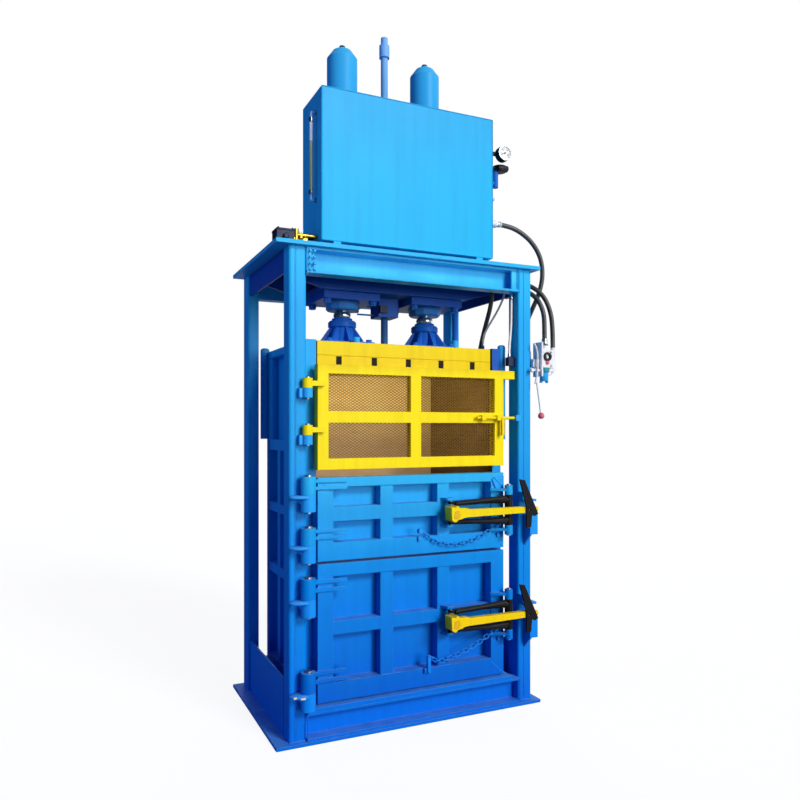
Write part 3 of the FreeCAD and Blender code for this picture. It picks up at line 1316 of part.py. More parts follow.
seam = block(("-%s - 1" % PL, "%s + 1" % PL), ("%s - 1" % PF, "%s + seam_deep" % PF),
             ("platen_low + platen_face + seam_rise", "platen_low + platen_face + seam_rise + seam_high"))
top_skin = block(("-%s" % PL, PL), (PF, PB), ("platen_low + platen_face", "platen_low + platen_face + platen_skin"))
node(cut(join(face_plate, top_skin, front_bar, rear_bar, centre_deck, *side_bars), seam, *slots), "platen")

# the guide pole stands on the platen and comes out of the top between the cylinders
pole = bar("Z", ("0", CYL_Y), (PLATEN_TOP, "pole_top"), "pole_radius")
collar = bar("Z", ("0", CYL_Y), ("pole_nut_low", "pole_nut_low + pole_nut_high"), "pole_nut_radius")
node(join(pole, collar), "guide_pole")

# ---------------------------------------------------------------- tank and fittings
TANK_L = "(-tank_left)"
TANK_R = "(-tank_left + tank_width)"
TANK_F = "(-tank_front)"
TANK_B = "(-tank_front + tank_deep)"
TANK_LOW = "(%s + tank_feet)" % TOP_FACE
TANK_TOP = "(%s + tank_high)" % TANK_LOW
tank_box = prism("XY", [(TANK_L, TANK_F), (TANK_R, TANK_F), (TANK_R, TANK_B), (TANK_L, TANK_B)],
                 (TANK_LOW, TANK_TOP))
rounded(tank_box, upright, "tank_seam")
feet = [block((start, "%s + tank_foot_width" % start), (TANK_F, TANK_B), (TOP_FACE, TANK_LOW))
        for start in ("%s + tank_foot_in" % TANK_L, "%s - tank_foot_in - tank_foot_width" % TANK_R)]
node(join(tank_box, *feet), "oil_tank")

# sight level on the tank's left face: a clear tube between two elbows
SIGHT_X = "(%s - sight_out)" % TANK_L
SIGHT_Y = "(-sight_y)"
sight_parts = [bar("Z", (SIGHT_X, SIGHT_Y), ("sight_low", "sight_high"), "sight_radius")]
for z in ("sight_low", "sight_high"):
    sight_parts.append(bar("X", (SIGHT_Y, z), ("%s - elbow_radius" % SIGHT_X, TANK_L), "elbow_radius"))
node(join(*sight_parts), "sight_tube")

# pressure gauge on the valve stack at the tank's right face
GX, GY = "(gauge_x)", "(-gauge_y)"
STACK_X = "(%s + stack_in)" % TANK_R
STACK_Y = "(%s + stack_back)" % GY
FILLER_LOW = "(gauge_z - filler_drop)"
FILLER_MID = "(%s + cap_high / 2)" % FILLER_LOW
dial = bar("Y", (GX, "gauge_z"), ("%s - gauge_deep" % GY, GY), "gauge_radius")
dial_neck = bar("X", (GY, "gauge_z"), (TANK_R, GX), "dial_neck_radius")
dial_boss = block(("%s - dial_boss_half" % GX, "%s + dial_boss_half" % GX), (GY, "%s + dial_boss_deep" % GY),
                  ("gauge_z - dial_boss_rise", "gauge_z + dial_boss_rise"))
node(join(dial, dial_neck, dial_boss), "pressure_gauge")
filler = bar("Z", (GX, STACK_Y), (FILLER_LOW, "%s + cap_high" % FILLER_LOW), "cap_rad")
filler_arm = bar("X", (STACK_Y, FILLER_MID), (TANK_R, GX), "filler_arm_radius")
stack = bar("Z", (STACK_X, STACK_Y), ("stack_low", FILLER_MID), "stack_radius")
stack_foot = bar("X", (STACK_Y, "stack_low + stack_foot_rise"), (TANK_R, STACK_X), "stack_foot_radius")
nipple = bar("X", (STACK_Y, "nipple_z"), (TANK_R, "%s + nipple_long" % TANK_R), "outlet_neck_radius")
OUTLET_END = "(%s + outlet_long)" % TANK_R
OUTLET_Y = "(-outlet_y)"
outlet = join(bar("X", (OUTLET_Y, "outlet_z"), (TANK_R, OUTLET_END), "outlet_neck_radius"),
              bar("X", (OUTLET_Y, "outlet_z"), ("%s + outlet_nut_near" % TANK_R,
                                               "%s - outlet_nut_far" % OUTLET_END), "outlet_radius"))
node(group(join(filler, filler_arm, stack, stack_foot), nipple, outlet), "tank_valve")

# junction box and drain valve on the top plate's left front corner
lid = block(("-box_left", "-box_left + box_wide"), ("-box_front", "-box_front + box_deep"),
            (TOP_FACE, "%s + box_high" % TOP_FACE))
# limit switches: on the column above the mesh door's stub, and on the guide sleeve
door_switch = join(block(("%s - switch_wide" % IN["right"], IN["right"]),
                         ("-switch_y - switch_deep / 2", "-switch_y + switch_deep / 2"),
                         ("switch_low", "switch_top")),
                   bar("Z", ("%s - switch_wide / 2 - plunger_set" % IN["right"], "-switch_y - plunger_front"),
                       ("mesh_top + end_play", "switch_low"), "plunger_radius"))
CONDUIT_FOOT_X = "(%s - conduit_foot_in)" % IN["right"]
SLEEVE_FRONT = "(%s - sleeve_size / 2)" % CYL_Y
sleeve_switch = block(("-sleeve_size / 2", "-sleeve_size / 2 + sleeve_switch_wide"),
                      ("%s - sleeve_switch_deep" % SLEEVE_FRONT, SLEEVE_FRONT),
                      ("%s + sleeve_switch_rise" % SLEEVE_LOW,
                       "%s + sleeve_switch_rise + sleeve_switch_high" % SLEEVE_LOW))
node(group(lid, door_switch, sleeve_switch), "switch_boxes")
drain_body = bar("Z", ("-drain_x", "-drain_y"), (TOP_FACE, "%s + drain_high" % TOP_FACE), "drain_radius")
drain_arm = bar("X", ("-drain_y", "%s + drain_high - drain_arm_drop" % TOP_FACE), ("-drain_x", TANK_L),
                "drain_arm_radius")
node(join(drain_body, drain_arm), "drain_valve")

# ---------------------------------------------------------------- manual valve on the right column
VX0 = "(%s + valve_out)" % OUT["right"]
VX1 = "(%s + valve_wide)" % VX0
VY0 = "(-valve_front)"
VY1 = "(%s + valve_deep)" % VY0
VXM = "((%s + %s) / 2)" % (VX0, VX1)
VYM = "((%s + %s) / 2)" % (VY0, VY1)
LEVER_X = "(%s - lever_before)" % VX0
PIVOT_Z = "(valve_low - eye_radius - end_play)"
VALVE_TOP = "(valve_low + valve_high)"
ELBOW_X = "(%s + port_out)" % VX1
valve_body = block((VX0, VX1), (VY0, VY1), ("valve_low", VALVE_TOP))
bracket = block((OUT["right"], VX0), ("%s + bracket_inset" % VY0, "%s - bracket_inset" % VY1),
                ("valve_low", "valve_low + bracket_high"))
back_plate = block(("%s - valve_plate" % VX0, VX0), ("%s - valve_plate_front" % VY0, "%s + valve_plate_back" % VY1),
                   ("valve_low - valve_plate_drop", "valve_low - valve_plate_drop + valve_plate_high"))
spool = bar("Z", ("%s + spool_radius" % VXM, VYM), ("valve_low - spool_drop", "valve_low"), "spool_radius")
top_port = bar("Z", (VXM, VYM), (VALVE_TOP, "%s + port_high" % VALVE_TOP), "port_radius")
# the second hose turns in an elbow under the valve
elbow = join(bar("Z", (ELBOW_X, VYM), ("valve_low - port_drop", "valve_low + elbow_high"), "hose_radius"),
             bar("X", (VYM, "valve_low - port_drop"), ("%s + spool_radius" % VXM, ELBOW_X), "hose_radius"))
cheeks = []
for sign in (-1, 1):
    near = "(%s + (%d) * (eye_half + end_play))" % (LEVER_X, sign)
    far = "(%s + (%d) * (eye_half + end_play + cheek))" % (LEVER_X, sign)
    cheeks.append(block((near, far) if sign > 0 else (far, near), ("%s - eye_radius" % VYM, "%s + eye_radius" % VYM),
                        ("%s - eye_radius" % PIVOT_Z, "valve_low")))
fork_pin = bar("X", (VYM, PIVOT_Z), ("%s - eye_half - cheek" % LEVER_X, "%s + eye_half + cheek" % LEVER_X),
               "valve_pin_radius")
valve = join(valve_body, bracket, back_plate, spool, top_port, elbow, fork_pin, *cheeks)

# the tank hose comes down behind the column to a block on its outer face
return_block = block((OUT["right"], "%s + block_wide" % OUT["right"]),
                     ("-block_front", "-block_front + block_deep"), ("block_low", "block_low + block_high"))
RETURN_X = "(%s + block_wide / 2 + return_out)" % OUT["right"]
RETURN_Y = "(-block_front + block_deep - return_back)"
RETURN_TOP = "(block_low + block_high + port_tall)"
return_port = bar("Z", (RETURN_X, RETURN_Y), ("block_low + block_high", RETURN_TOP), "port_radius")
node(group(valve, join(return_block, return_port)), "manual_valve")
stick = bar("Z", (LEVER_X, VYM), (PIVOT_Z, PIVOT_Z), "stick_radius")
tie(stick, Height="stick_long")
stick.Placement.Rotation = Rotation(Vector(0, 1, 0), 180 - SIZES["stick_lean"])
eye = bar("X", (VYM, PIVOT_Z), ("%s - eye_half" % LEVER_X, "%s + eye_half" % LEVER_X), "eye_radius")
eye_bore = bar("X", (VYM, PIVOT_Z), ("%s - eye_half - 1" % LEVER_X, "%s + eye_half + 1" % LEVER_X),
               "valve_pin_radius + pin_fit")
ball = doc.addObject("Part::Sphere", "ball")
tie(ball, Radius="ball_radius")
place(ball, "%s + stick_long * sin(stick_lean)" % LEVER_X, VYM, "%s - stick_long * cos(stick_lean)" % PIVOT_Z)
node(cut(join(stick, eye, ball), eye_bore), "valve_lever")

# ---------------------------------------------------------------- hoses and cables


def cord(name, points, radius, start, end):
    """A tube along hand-chosen points, as straight runs with tangent arcs at the corners."""
    spots = [Vector(*point) for point in points]
    spots[0], spots[-1] = Vector(*[number(f) for f in start]), Vector(*[number(f) for f in end])
    runs = [(b - a).Length for a, b in zip(spots, spots[1:])]
    edges, at, radii = [], spots[0], []
    for i in range(1, len(spots) - 1):
        before = (spots[i] - spots[i - 1]).normalize()
        after = (spots[i + 1] - spots[i]).normalize()
        turn = before.getAngle(after)
        back = 0.45 * min(runs[i - 1], runs[i])
        radii.append(back / math.tan(turn / 2))
        first, last = spots[i] - before * back, spots[i] + after * back
        middle = spots[i] + (after - before).normalize() * radii[-1] * (1 / math.cos(turn / 2) - 1)
        edges.append(Part.LineSegment(at, first).toShape())
        edges.append(Part.Arc(first, middle, last).toShape())
        at = last
    edges.append(Part.LineSegment(at, spots[-1]).toShape())
    route = Part.Wire(edges)
    ring = Part.Wire(Part.makeCircle(SIZES[radius], spots[0], spots[1] - spots[0]))
    item = doc.addObject("Part::Feature", name)
    item.Shape = route.makePipeShell([ring], True, False)
    share = item.Shape.Volume / (math.pi * SIZES[radius] ** 2 * route.Length)
    print(name, "length", round(route.Length), "radii", [round(r) for r in radii], "volume share", round(share, 4))
    return node(item, name)


cord("hose_return", [(512, -382, 2652), (592, -382, 2652), (674, -393, 2624), (752, -403, 2566),
                     (806, -405, 2484), (822, -400, 2385), (808, -385, 2290), (780, -360, 2206),
                     (754, -338, 2130), (742, -331, 2056), (742, -331, 1985)],
     "hose_radius", (OUTLET_END, OUTLET_Y, "outlet_z"), (RETURN_X, RETURN_Y, RETURN_TOP))
cord("hose_valve_left", [(720, -227, 2312), (720, -296.5, 2312), (743, -372.5, 2296.5), (770, -428, 2245),
                         (794, -448.5, 2169.5), (799.5, -446, 2076), (799.5, -446, 1985)],
     "hose_radius", (PAIR_X, "-pair_front", "pair_low + pair_first"), (VXM, VYM, "%s + port_high" % VALVE_TOP))
cord("hose_valve_right", [(720, -227, 2352), (720, -302, 2352), (752.5, -379.5, 2331), (804, -431.5, 2271),
                          (842, -446, 2180), (856, -446, 2080), (856, -446, 1975)],
     "hose_radius", (PAIR_X, "-pair_front", "pair_low + pair_second"), (ELBOW_X, VYM, "valve_low + elbow_high"))
cord("inner_hose", [(556, -285, 2368), (556, -285, 2300), (568.5, -250, 2221), (582, -185, 2145),
                    (590, -125, 2060), (592, -82, 1960), (584, -62, 1850), (562, -58, 1740),
                    (547, -60, 1640), (545, -60, 1560), (545, -60, 1490)],
     "hose_radius",
     ("hose_top_x", "-hose_top_y", UNDER_FITTING[0]), ("hose_foot_x", "-hose_foot_y", "feed_level + fitting_high"))
cord("sensor_cable", [(606, -352, 2368), (606, -352, 2316), (599, -335, 2255), (588, -298, 2195),
                      (576, -255, 2142), (564, -213, 2094), (556, -184, 2046), (556, -184, 1997)],
     "cable_radius",
     ("cable_top_x", "-cable_top_y", UNDER_FITTING[0]), ("cable_foot_x", "-cable_foot_y", "feed_top + fitting_high"))
cord("switch_conduit", [(609, -400, 2258), (609, -400, 2190), (608, -400, 2118), (604, -399, 2048),
                        (596, -398, 1980), (596, -398, 1915)],
     "conduit_radius",
     ("conduit_x", "-conduit_y", "%s - conduit_gland" % TOP_BEAM_LOW), (CONDUIT_FOOT_X, "-switch_y", "switch_top"))

# ---------------------------------------------------------------- chains


def chain_link(pitch):
    """One eight-cornered link lying along X in the XZ plane, centred on the origin."""
    wire, wide = SIZES["chain_wire"], SIZES["chain_wide"]
    half = (pitch + wire + SIZES["chain_slack"] + wire) / 2
    rings = []
    for inset in (0, wire):
        a, b, c = half - inset, wide / 2 - inset, (wide / 2 - inset) * SIZES["chain_corner"]
        spots = [(-a, -b + c), (-a + c, -b), (a - c, -b), (a, -b + c),
                 (a, b - c), (a - c, b), (-a + c, b), (-a, b - c)]
        ring = [Vector(x, -wire / 2, z) for x, z in spots]
        rings.append(Part.makePolygon(ring + ring[:1]))
    return holed(rings, Vector(0, wire, 0))


def chain(start, end, sag):
    """Links along a hanging curve in the plane y of start, alternately flat and on edge."""
    run, rise = end[0] - start[0], end[2] - start[2]

    def spot(t):
        return Vector(start[0] + run * t, start[1], start[2] + rise * t - 4 * sag * t * (1 - t))

    steps = 1000
    lengths = [0.0]
    for i in range(steps):
        lengths.append(lengths[-1] + (spot((i + 1) / steps) - spot(i / steps)).Length)
    # an odd count, so that both end links lie flat on their bosses
    count = 2 * math.ceil(lengths[-1] / (2 * SIZES["chain_pitch"])) + 1
    pitch = lengths[-1] / (count - 1)
    links = []
    for i in range(count):
        at = next(k for k, length in enumerate(lengths) if length >= i * pitch or k == steps) / steps
        ahead, behind = spot(min(1, at + 0.01)), spot(max(0, at - 0.01))
        slope = -math.degrees(math.atan2(ahead.z - behind.z, ahead.x - behind.x))
        link = chain_link(pitch)
        if i % 2:
            link.rotate(Vector(), Vector(1, 0, 0), 90)
        link.rotate(Vector(), Vector(0, 1, 0), slope)
        link.translate(spot(at))
        links.append(link)
    print("chain of", count, "links,", round(lengths[-1]), "mm")
    return Part.makeCompound(links)


chain_y = number("%s - chain_boss - chain_wire / 2" % DOOR_FRONT)
for name in ("lower", "upper"):
    item = doc.addObject("Part::Feature", name + "_chain")
    item.Shape = chain((number(name + "_chain_left"), chain_y, number(name + "_chain_left_z")),
                       (number(name + "_chain_right"), chain_y, number(name + "_chain_right_z")),
                       SIZES[name + "_chain_sag"])
    node(item, name + "_chain")

# ---------------------------------------------------------------- checks and export
doc.recompute()
faults = []
for item in doc.Objects:
    if "Invalid" in item.State or "Error" in item.State:
        faults.append("%s is %s" % (item.Name, item.State))
for item in NODES:
    if item.Shape.isNull() or not item.Shape.isValid():
        faults.append("%s has a bad shape" % item.Label)
if faults:
    raise RuntimeError("; ".join(faults))
os.makedirs("parts", exist_ok=True)
for item in NODES:
    item.Shape.exportStep("parts/%s.step" % item.Label)
    print(item.Label, len(item.Shape.Solids), "solids", round(item.Shape.Volume / 1000), "cm3")
print(len(NODES), "nodes")
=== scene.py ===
# %% [markdown]
# # An upright recycling baler
# The machine presses waste into bales. Its frame, doors and cylinders arrive as a packed
# model in metres, and this lesson adds what a workshop would: hoses, fine mesh, dials,
# bolts, weld beads and the finish on each surface. Each step says what a piece is on the
# real machine, how it could be made, and why it is made this way.

# %% Load the frame
import math

import bmesh
import bpy
from mathutils import Matrix, Vector


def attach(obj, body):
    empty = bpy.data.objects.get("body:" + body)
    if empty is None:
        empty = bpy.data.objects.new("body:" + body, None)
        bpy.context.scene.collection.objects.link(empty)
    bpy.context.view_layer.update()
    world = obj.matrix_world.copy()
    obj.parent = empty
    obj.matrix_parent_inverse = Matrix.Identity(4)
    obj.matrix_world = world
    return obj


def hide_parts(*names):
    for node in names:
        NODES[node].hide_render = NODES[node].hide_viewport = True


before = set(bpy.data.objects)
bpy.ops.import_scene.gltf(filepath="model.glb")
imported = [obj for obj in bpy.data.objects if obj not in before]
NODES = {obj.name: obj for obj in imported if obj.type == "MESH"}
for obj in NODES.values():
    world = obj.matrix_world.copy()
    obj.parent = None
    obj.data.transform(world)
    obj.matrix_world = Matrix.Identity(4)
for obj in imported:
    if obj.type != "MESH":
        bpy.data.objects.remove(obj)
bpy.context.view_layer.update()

MM = 0.001  # the scene is in metres, and a workshop measures in millimetres

# %% [markdown]
# ## Camera
# The machine was photographed from its front left corner at eye height. A camera tilted
# up would lean the columns, so this one is level and shifted up a little, as a view
# camera is, and the columns stay upright.

# %% Camera
scene = bpy.context.scene
camera = bpy.data.objects.new("camera", bpy.data.cameras.new("camera"))
camera.location = (-1.6658, -3.8396, 1.5257)
camera.rotation_euler = (math.radians(90), 0, math.radians(-24.829))
camera.data.sensor_width = 36
camera.data.lens = 32.936
camera.data.shift_y = 0.0343
scene.collection.objects.link(camera)
scene.camera = camera
print("camera at", tuple(camera.location))

# %% [markdown]
# ## Studio light
# Daylight falls on the machine from the front right: fronts are bright, and the sides
# that face left are deep navy. Lamps nearby would light the base more than the top, so
# a key and a low fill are suns, with a wide disc for soft shadows. The colours go to the
# picture without a film curve, so the enamel stays as strong as it is.

# %% Studio light
scene.view_settings.view_transform = "Standard"
WHITE = (1, 1, 1)


def soft_sun(name, towards, strength, disc, tint=WHITE):
    """A sun whose light comes from a direction, with a soft edge of some degrees."""
    lamp = bpy.data.lights.new(name, "SUN")
    lamp.color = tint
    lamp.energy = strength * math.pi
    lamp.angle = math.radians(disc)
    lit = bpy.data.objects.new(name, lamp)
    lit.rotation_euler = Vector(towards).to_track_quat("Z", "Y").to_euler()
    scene.collection.objects.link(lit)
    return lit


soft_sun("high_key", (0.30, -0.80, 0.50), 0.65, 16)
soft_sun("low_fill", (0.26, -1.0, 0.10), 0.48, 26)
print("key and fill", bpy.data.lights["high_key"].energy, bpy.data.lights["low_fill"].energy)

# %% [markdown]
# No side of a machine outdoors is black. Two weak suns stand for the blue sky on the left
# and the light behind. Enamel would mirror them as a grey glare, so they don't show in
# its gloss.

# %% Sky on the left and light behind
BLUE_SKY = (0.15, 0.45, 1.0)
for name, towards, strength, tint in (("left_sky", (-1.0, 0.1, 0.15), 0.26, BLUE_SKY),
                                      ("rear_fill", (0.25, 1.0, 0.35), 0.30, WHITE)):
    soft_sun(name, towards, strength, 40, tint).visible_glossy = False
    print(name, strength)

# %% [markdown]
# The chamber is deep and its door is close mesh, so little daylight gets to its rear
# wall. A small lamp just behind the mesh does what the open sky does on site.

# %% Chamber lamp
lamp = bpy.data.lights.new("chamber_lamp", "AREA")
lamp.shape, lamp.size, lamp.size_y, lamp.energy = "RECTANGLE", 0.90, 0.30, 5.6
chamber_lamp = bpy.data.objects.new("chamber_lamp", lamp)
chamber_lamp.location = (-0.04, -0.33, 1.64)
chamber_lamp.rotation_euler = (math.radians(90), 0, 0)
scene.collection.objects.link(chamber_lamp)

# %% [markdown]
# ## Colours and nodes
# A paint card gives a colour as a hex code, which is brighter than the linear light that
# the shader counts in, so one function turns the one into the other.

# %% Hex colours
def srgb(code):
    """An sRGB hex colour as linear red, green, blue and alpha."""
    parts = [int(code[i:i + 2], 16) / 255 for i in (1, 3, 5)]
    return tuple(c / 12.92 if c <= 0.04045 else ((c + 0.055) / 1.055) ** 2.4
                 for c in parts) + (1,)


print("a paint card blue in linear light", [round(c, 3) for c in srgb("#1e8fe0")])

# %% [markdown]
# Every finish below is a small tree of shader nodes. Placing them by hand takes many
# lines, so one helper adds any node with its settings and links.

# %% Node helper
def add(tree, kind, inputs=None, stops=None, **settings):
    """Adds a shader node; an input takes a value, a node or a socket, and a ramp its stops."""
    item = tree.nodes.new("ShaderNode" + kind)
    for name, value in settings.items():
        setattr(item, name, value)
    for name, value in (inputs or {}).items():
        if isinstance(value, bpy.types.Node):
            value = value.outputs[0]
        if isinstance(value, bpy.types.NodeSocket):
            tree.links.new(value, item.inputs[name])
        else:
            item.inputs[name].default_value = value
    for i, (place, code) in enumerate(stops or []):
        ramp = item.color_ramp.elements
        if i == 0:
            ramp.remove(ramp[1])
            ramp[0].position = place
        spot = ramp[0] if i == 0 else ramp.new(place)
        spot.color = srgb(code)
    return item


def blank(name):
    """A new material with its nodes cleared, its tree, and each point's place on the piece."""
    made = bpy.data.materials.new(name)
    made.use_nodes = True
    made.node_tree.nodes.clear()
    return made, made.node_tree, add(made.node_tree, "TexCoord").outputs["Object"]


print("helpers", add.__name__, blank.__name__)

# %% [markdown]
# ## Surround and floor
# The surround is plain white to the camera. What the paint receives from it is dim and
# a little blue, as open sky is, which keeps the left sides dark. What shines in its
# gloss is a bright wall on the right that fades out to the left. One white surround for
# all three would wash the blue out.

# %% Surround
world = bpy.data.worlds.new("studio")
world.use_nodes = True
tree = world.node_tree
tree.nodes.clear()
ray = add(tree, "LightPath")
side = add(tree, "SeparateXYZ", {"Vector": add(tree, "TexCoord").outputs["Generated"]})
bright = add(tree, "MapRange", {"Value": side.outputs["X"], "From Min": -0.15, "From Max": 0.9,
                                "To Min": 0.02, "To Max": 1.2})
sky = add(tree, "Background", {"Color": (0.60, 0.55, 1.0, 1), "Strength": 0.19})
gleam = add(tree, "Background", {"Color": (0.85, 0.92, 1.0, 1), "Strength": bright})
paper = add(tree, "Background", {"Color": (1, 1, 1, 1), "Strength": 1.0})
near = add(tree, "MixShader", {"Fac": ray.outputs["Is Glossy Ray"], 1: sky, 2: gleam})
seen = add(tree, "MixShader", {"Fac": ray.outputs["Is Camera Ray"], 1: near, 2: paper})
add(tree, "OutputWorld", {"Surface": seen})
scene.world = world
print("world", world.name)

# %% [markdown]
# The floor is a pale table of frosted acrylic that is lit a little from below, as product
# tables are. Its own glow is what makes the shadows on it faint. It stays out of the
# paint's light and gloss, because the real machine stands on dark ground.

# %% Floor
floor_paint, tree, place = blank("frosted_acrylic_table")
grain = add(tree, "TexNoise", {"Vector": place, "Scale": 1 / (25 * MM), "Detail": 4.0})
tone = add(tree, "MixRGB", {"Fac": grain, "Color1": srgb("#646668"), "Color2": srgb("#68696b")})
sheet = add(tree, "BsdfPrincipled", {
    "Base Color": tone, "Roughness": 0.8, "Specular IOR Level": 0.1,
    "Emission Color": (1, 1, 1, 1), "Emission Strength": 0.90})
add(tree, "OutputMaterial", {"Surface": sheet})
bm = bmesh.new()
bmesh.ops.create_grid(bm, x_segments=1, y_segments=1, size=30)
bmesh.ops.translate(bm, vec=(0, 0, -0.5 * MM), verts=bm.verts)
floor_mesh = bpy.data.meshes.new("studio_floor")
bm.to_mesh(floor_mesh)
bm.free()
floor_mesh.materials.append(floor_paint)
floor = bpy.data.objects.new("studio_floor", floor_mesh)
floor.visible_diffuse = False
floor.visible_glossy = False
scene.collection.objects.link(floor)
print("floor", floor.name)

# %% [markdown]
# ## Hoses and cables
# A hydraulic hose is a steel braid in black rubber. It is stiff, so it leaves a fitting
# straight and turns in wide bends. A tube could be swept along runs and arcs, but a NURBS
# curve with few control points bends as rubber does by itself, which is why each route is
# its diameter, its real length and a short list of points.

# %% Hose routes
HOSE = 26 * MM
CABLE = 12 * MM
CONDUIT = 14 * MM
ROUTES = {
    "hose_return": (HOSE, 0.877, [
        (0.512, -0.382, 2.652), (0.592, -0.382, 2.652), (0.674, -0.393, 2.624),
        (0.752, -0.403, 2.566), (0.806, -0.405, 2.484), (0.822, -0.400, 2.385),
        (0.808, -0.385, 2.290), (0.780, -0.360, 2.206), (0.754, -0.338, 2.130),
        (0.742, -0.331, 2.056), (0.742, -0.331, 1.985)]),
    "hose_valve_left": (HOSE, 0.492, [
        (0.720, -0.227, 2.312), (0.720, -0.2965, 2.312), (0.743, -0.3725, 2.2965),
        (0.770, -0.428, 2.245), (0.794, -0.4485, 2.1695), (0.7995, -0.446, 2.076),
        (0.7995, -0.446, 1.985)]),
    "hose_valve_right": (HOSE, 0.556, [
        (0.720, -0.227, 2.352), (0.720, -0.302, 2.352), (0.7525, -0.3795, 2.331),
        (0.804, -0.4315, 2.271), (0.842, -0.446, 2.180), (0.856, -0.446, 2.080),
        (0.856, -0.446, 1.975)]),
    "inner_hose": (HOSE, 0.942, [
        (0.556, -0.285, 2.368), (0.556, -0.285, 2.300), (0.5685, -0.250, 2.221),
        (0.582, -0.185, 2.145), (0.590, -0.125, 2.060), (0.592, -0.082, 1.960),
        (0.584, -0.062, 1.850), (0.562, -0.058, 1.740), (0.547, -0.060, 1.640),
        (0.545, -0.060, 1.560), (0.545, -0.060, 1.490)]),
    "sensor_cable": (CABLE, 0.425, [
        (0.606, -0.352, 2.368), (0.606, -0.352, 2.316), (0.599, -0.335, 2.255),
        (0.588, -0.298, 2.195), (0.576, -0.255, 2.142), (0.564, -0.213, 2.094),
        (0.556, -0.184, 2.046), (0.556, -0.184, 1.997)]),
    "switch_conduit": (CONDUIT, 0.344, [
        (0.609, -0.400, 2.258), (0.609, -0.400, 2.190), (0.608, -0.400, 2.118),
        (0.604, -0.399, 2.048), (0.596, -0.398, 1.980), (0.596, -0.398, 1.915)]),
}
print("routes", {name: round(route[1] / MM) for name, route in ROUTES.items()})

# %% [markdown]
# The hose cover is extruded nitrile rubber, cured in a cloth wrap. To the eye it is dull
# dark grey, greyer where dust sits, with slanting marks from the wrap. Real marks are
# under a millimetre apart, and these repeat every 4 mm so that they show.

# %% Hose rubber
RUBBER, tree, place = blank("cured_nitrile_rubber")
WRAP = 90.0  # a diagonal wave repeats every 363 mm at scale 1, so every 4 mm here
wrap = add(tree, "TexWave", {"Vector": place, "Scale": WRAP, "Distortion": 1.5},
           bands_direction="DIAGONAL")
dust = add(tree, "TexNoise", {"Vector": place, "Scale": 1 / (55.5 * MM), "Detail": 6.0})
tone = add(tree, "MixRGB", {"Fac": dust, "Color1": srgb("#1c1d1e"), "Color2": srgb("#4a4c4c")})
bump = add(tree, "Bump", {"Height": wrap.outputs["Fac"], "Strength": 0.15, "Distance": 1 * MM})
cover = add(tree, "BsdfPrincipled", {"Base Color": tone, "Roughness": 0.48, "Normal": bump,
                                     "Specular IOR Level": 0.6})
add(tree, "OutputMaterial", {"Surface": cover})
print("made", RUBBER.name)

# %% [markdown]
# The cables have an extruded PVC sheath: cream, slightly glossy and soiled in patches a
# hand's breadth long.

# %% Cable sheath
SHEATH, tree, place = blank("cream_pvc")
soil = add(tree, "TexNoise", {"Vector": place, "Scale": 1 / (71.5 * MM), "Detail": 5.0})
tone = add(tree, "MixRGB", {"Fac": soil, "Color1": srgb("#ece6d4"), "Color2": srgb("#fbf8ee")})
cover = add(tree, "BsdfPrincipled", {"Base Color": tone, "Roughness": 0.4})
add(tree, "OutputMaterial", {"Surface": cover})
print("made", SHEATH.name)

# %% [markdown]
# Each route becomes one open spline with a round bevel of the hose's radius. The spline's
# order is set after its points, or it would stay a chain of straight runs.

# %% Hoses
def bent_line(name, points, radius, closed=False, fine=10, round_steps=6):
    """One NURBS spline bent along a few points, with a round bevel."""
    curve = bpy.data.curves.new(name, "CURVE")
    curve.dimensions = "3D"
    curve.bevel_depth = radius
    curve.bevel_resolution = round_steps
    curve.use_fill_caps = not closed
    spline = curve.splines.new("NURBS")
    spline.points.add(len(points) - 1)
    for spot, place in zip(spline.points, points):
        spot.co = (*place, 1)
    spline.order_u = 3
    spline.use_cyclic_u = closed
    spline.use_endpoint_u = not closed
    spline.resolution_u = fine
    return curve


def hose(name, diameter, points):
    """A hose or cable that rides on the frame in place of the plain solid."""
    is_cable = diameter < HOSE
    curve = bent_line(name + "_line", points, diameter / 2)
    curve.materials.append(SHEATH if is_cable else RUBBER)
    made = bpy.data.objects.new(name + "_rubber", curve)
    scene.collection.objects.link(made)
    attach(made, "press_frame")
    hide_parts(name)


for name, (diameter, length, points) in ROUTES.items():
    hose(name, diameter, points)
    print(name, round(diameter / MM), "mm thick,", round(length / MM), "mm long")


# %% [markdown]
# ## Enamel
# The machine is sprayed with alkyd enamel over welded steel. Its blue is made deep near the floor
# and lighter and greener above, and rain leaves faint runs. Some cards also paint light and shade
# by height, as noted at each. One colour all over would look like plastic, so a ramp over the
# height gives the tone, and noise moves the ramp's border up and down.

# %% A tone for each height
TALL = 4.0  # metres that a paint card may cover, a little more than the machine
RAIN = (36 * MM, 36 * MM, 625 * MM)  # the width and length of a run of rain


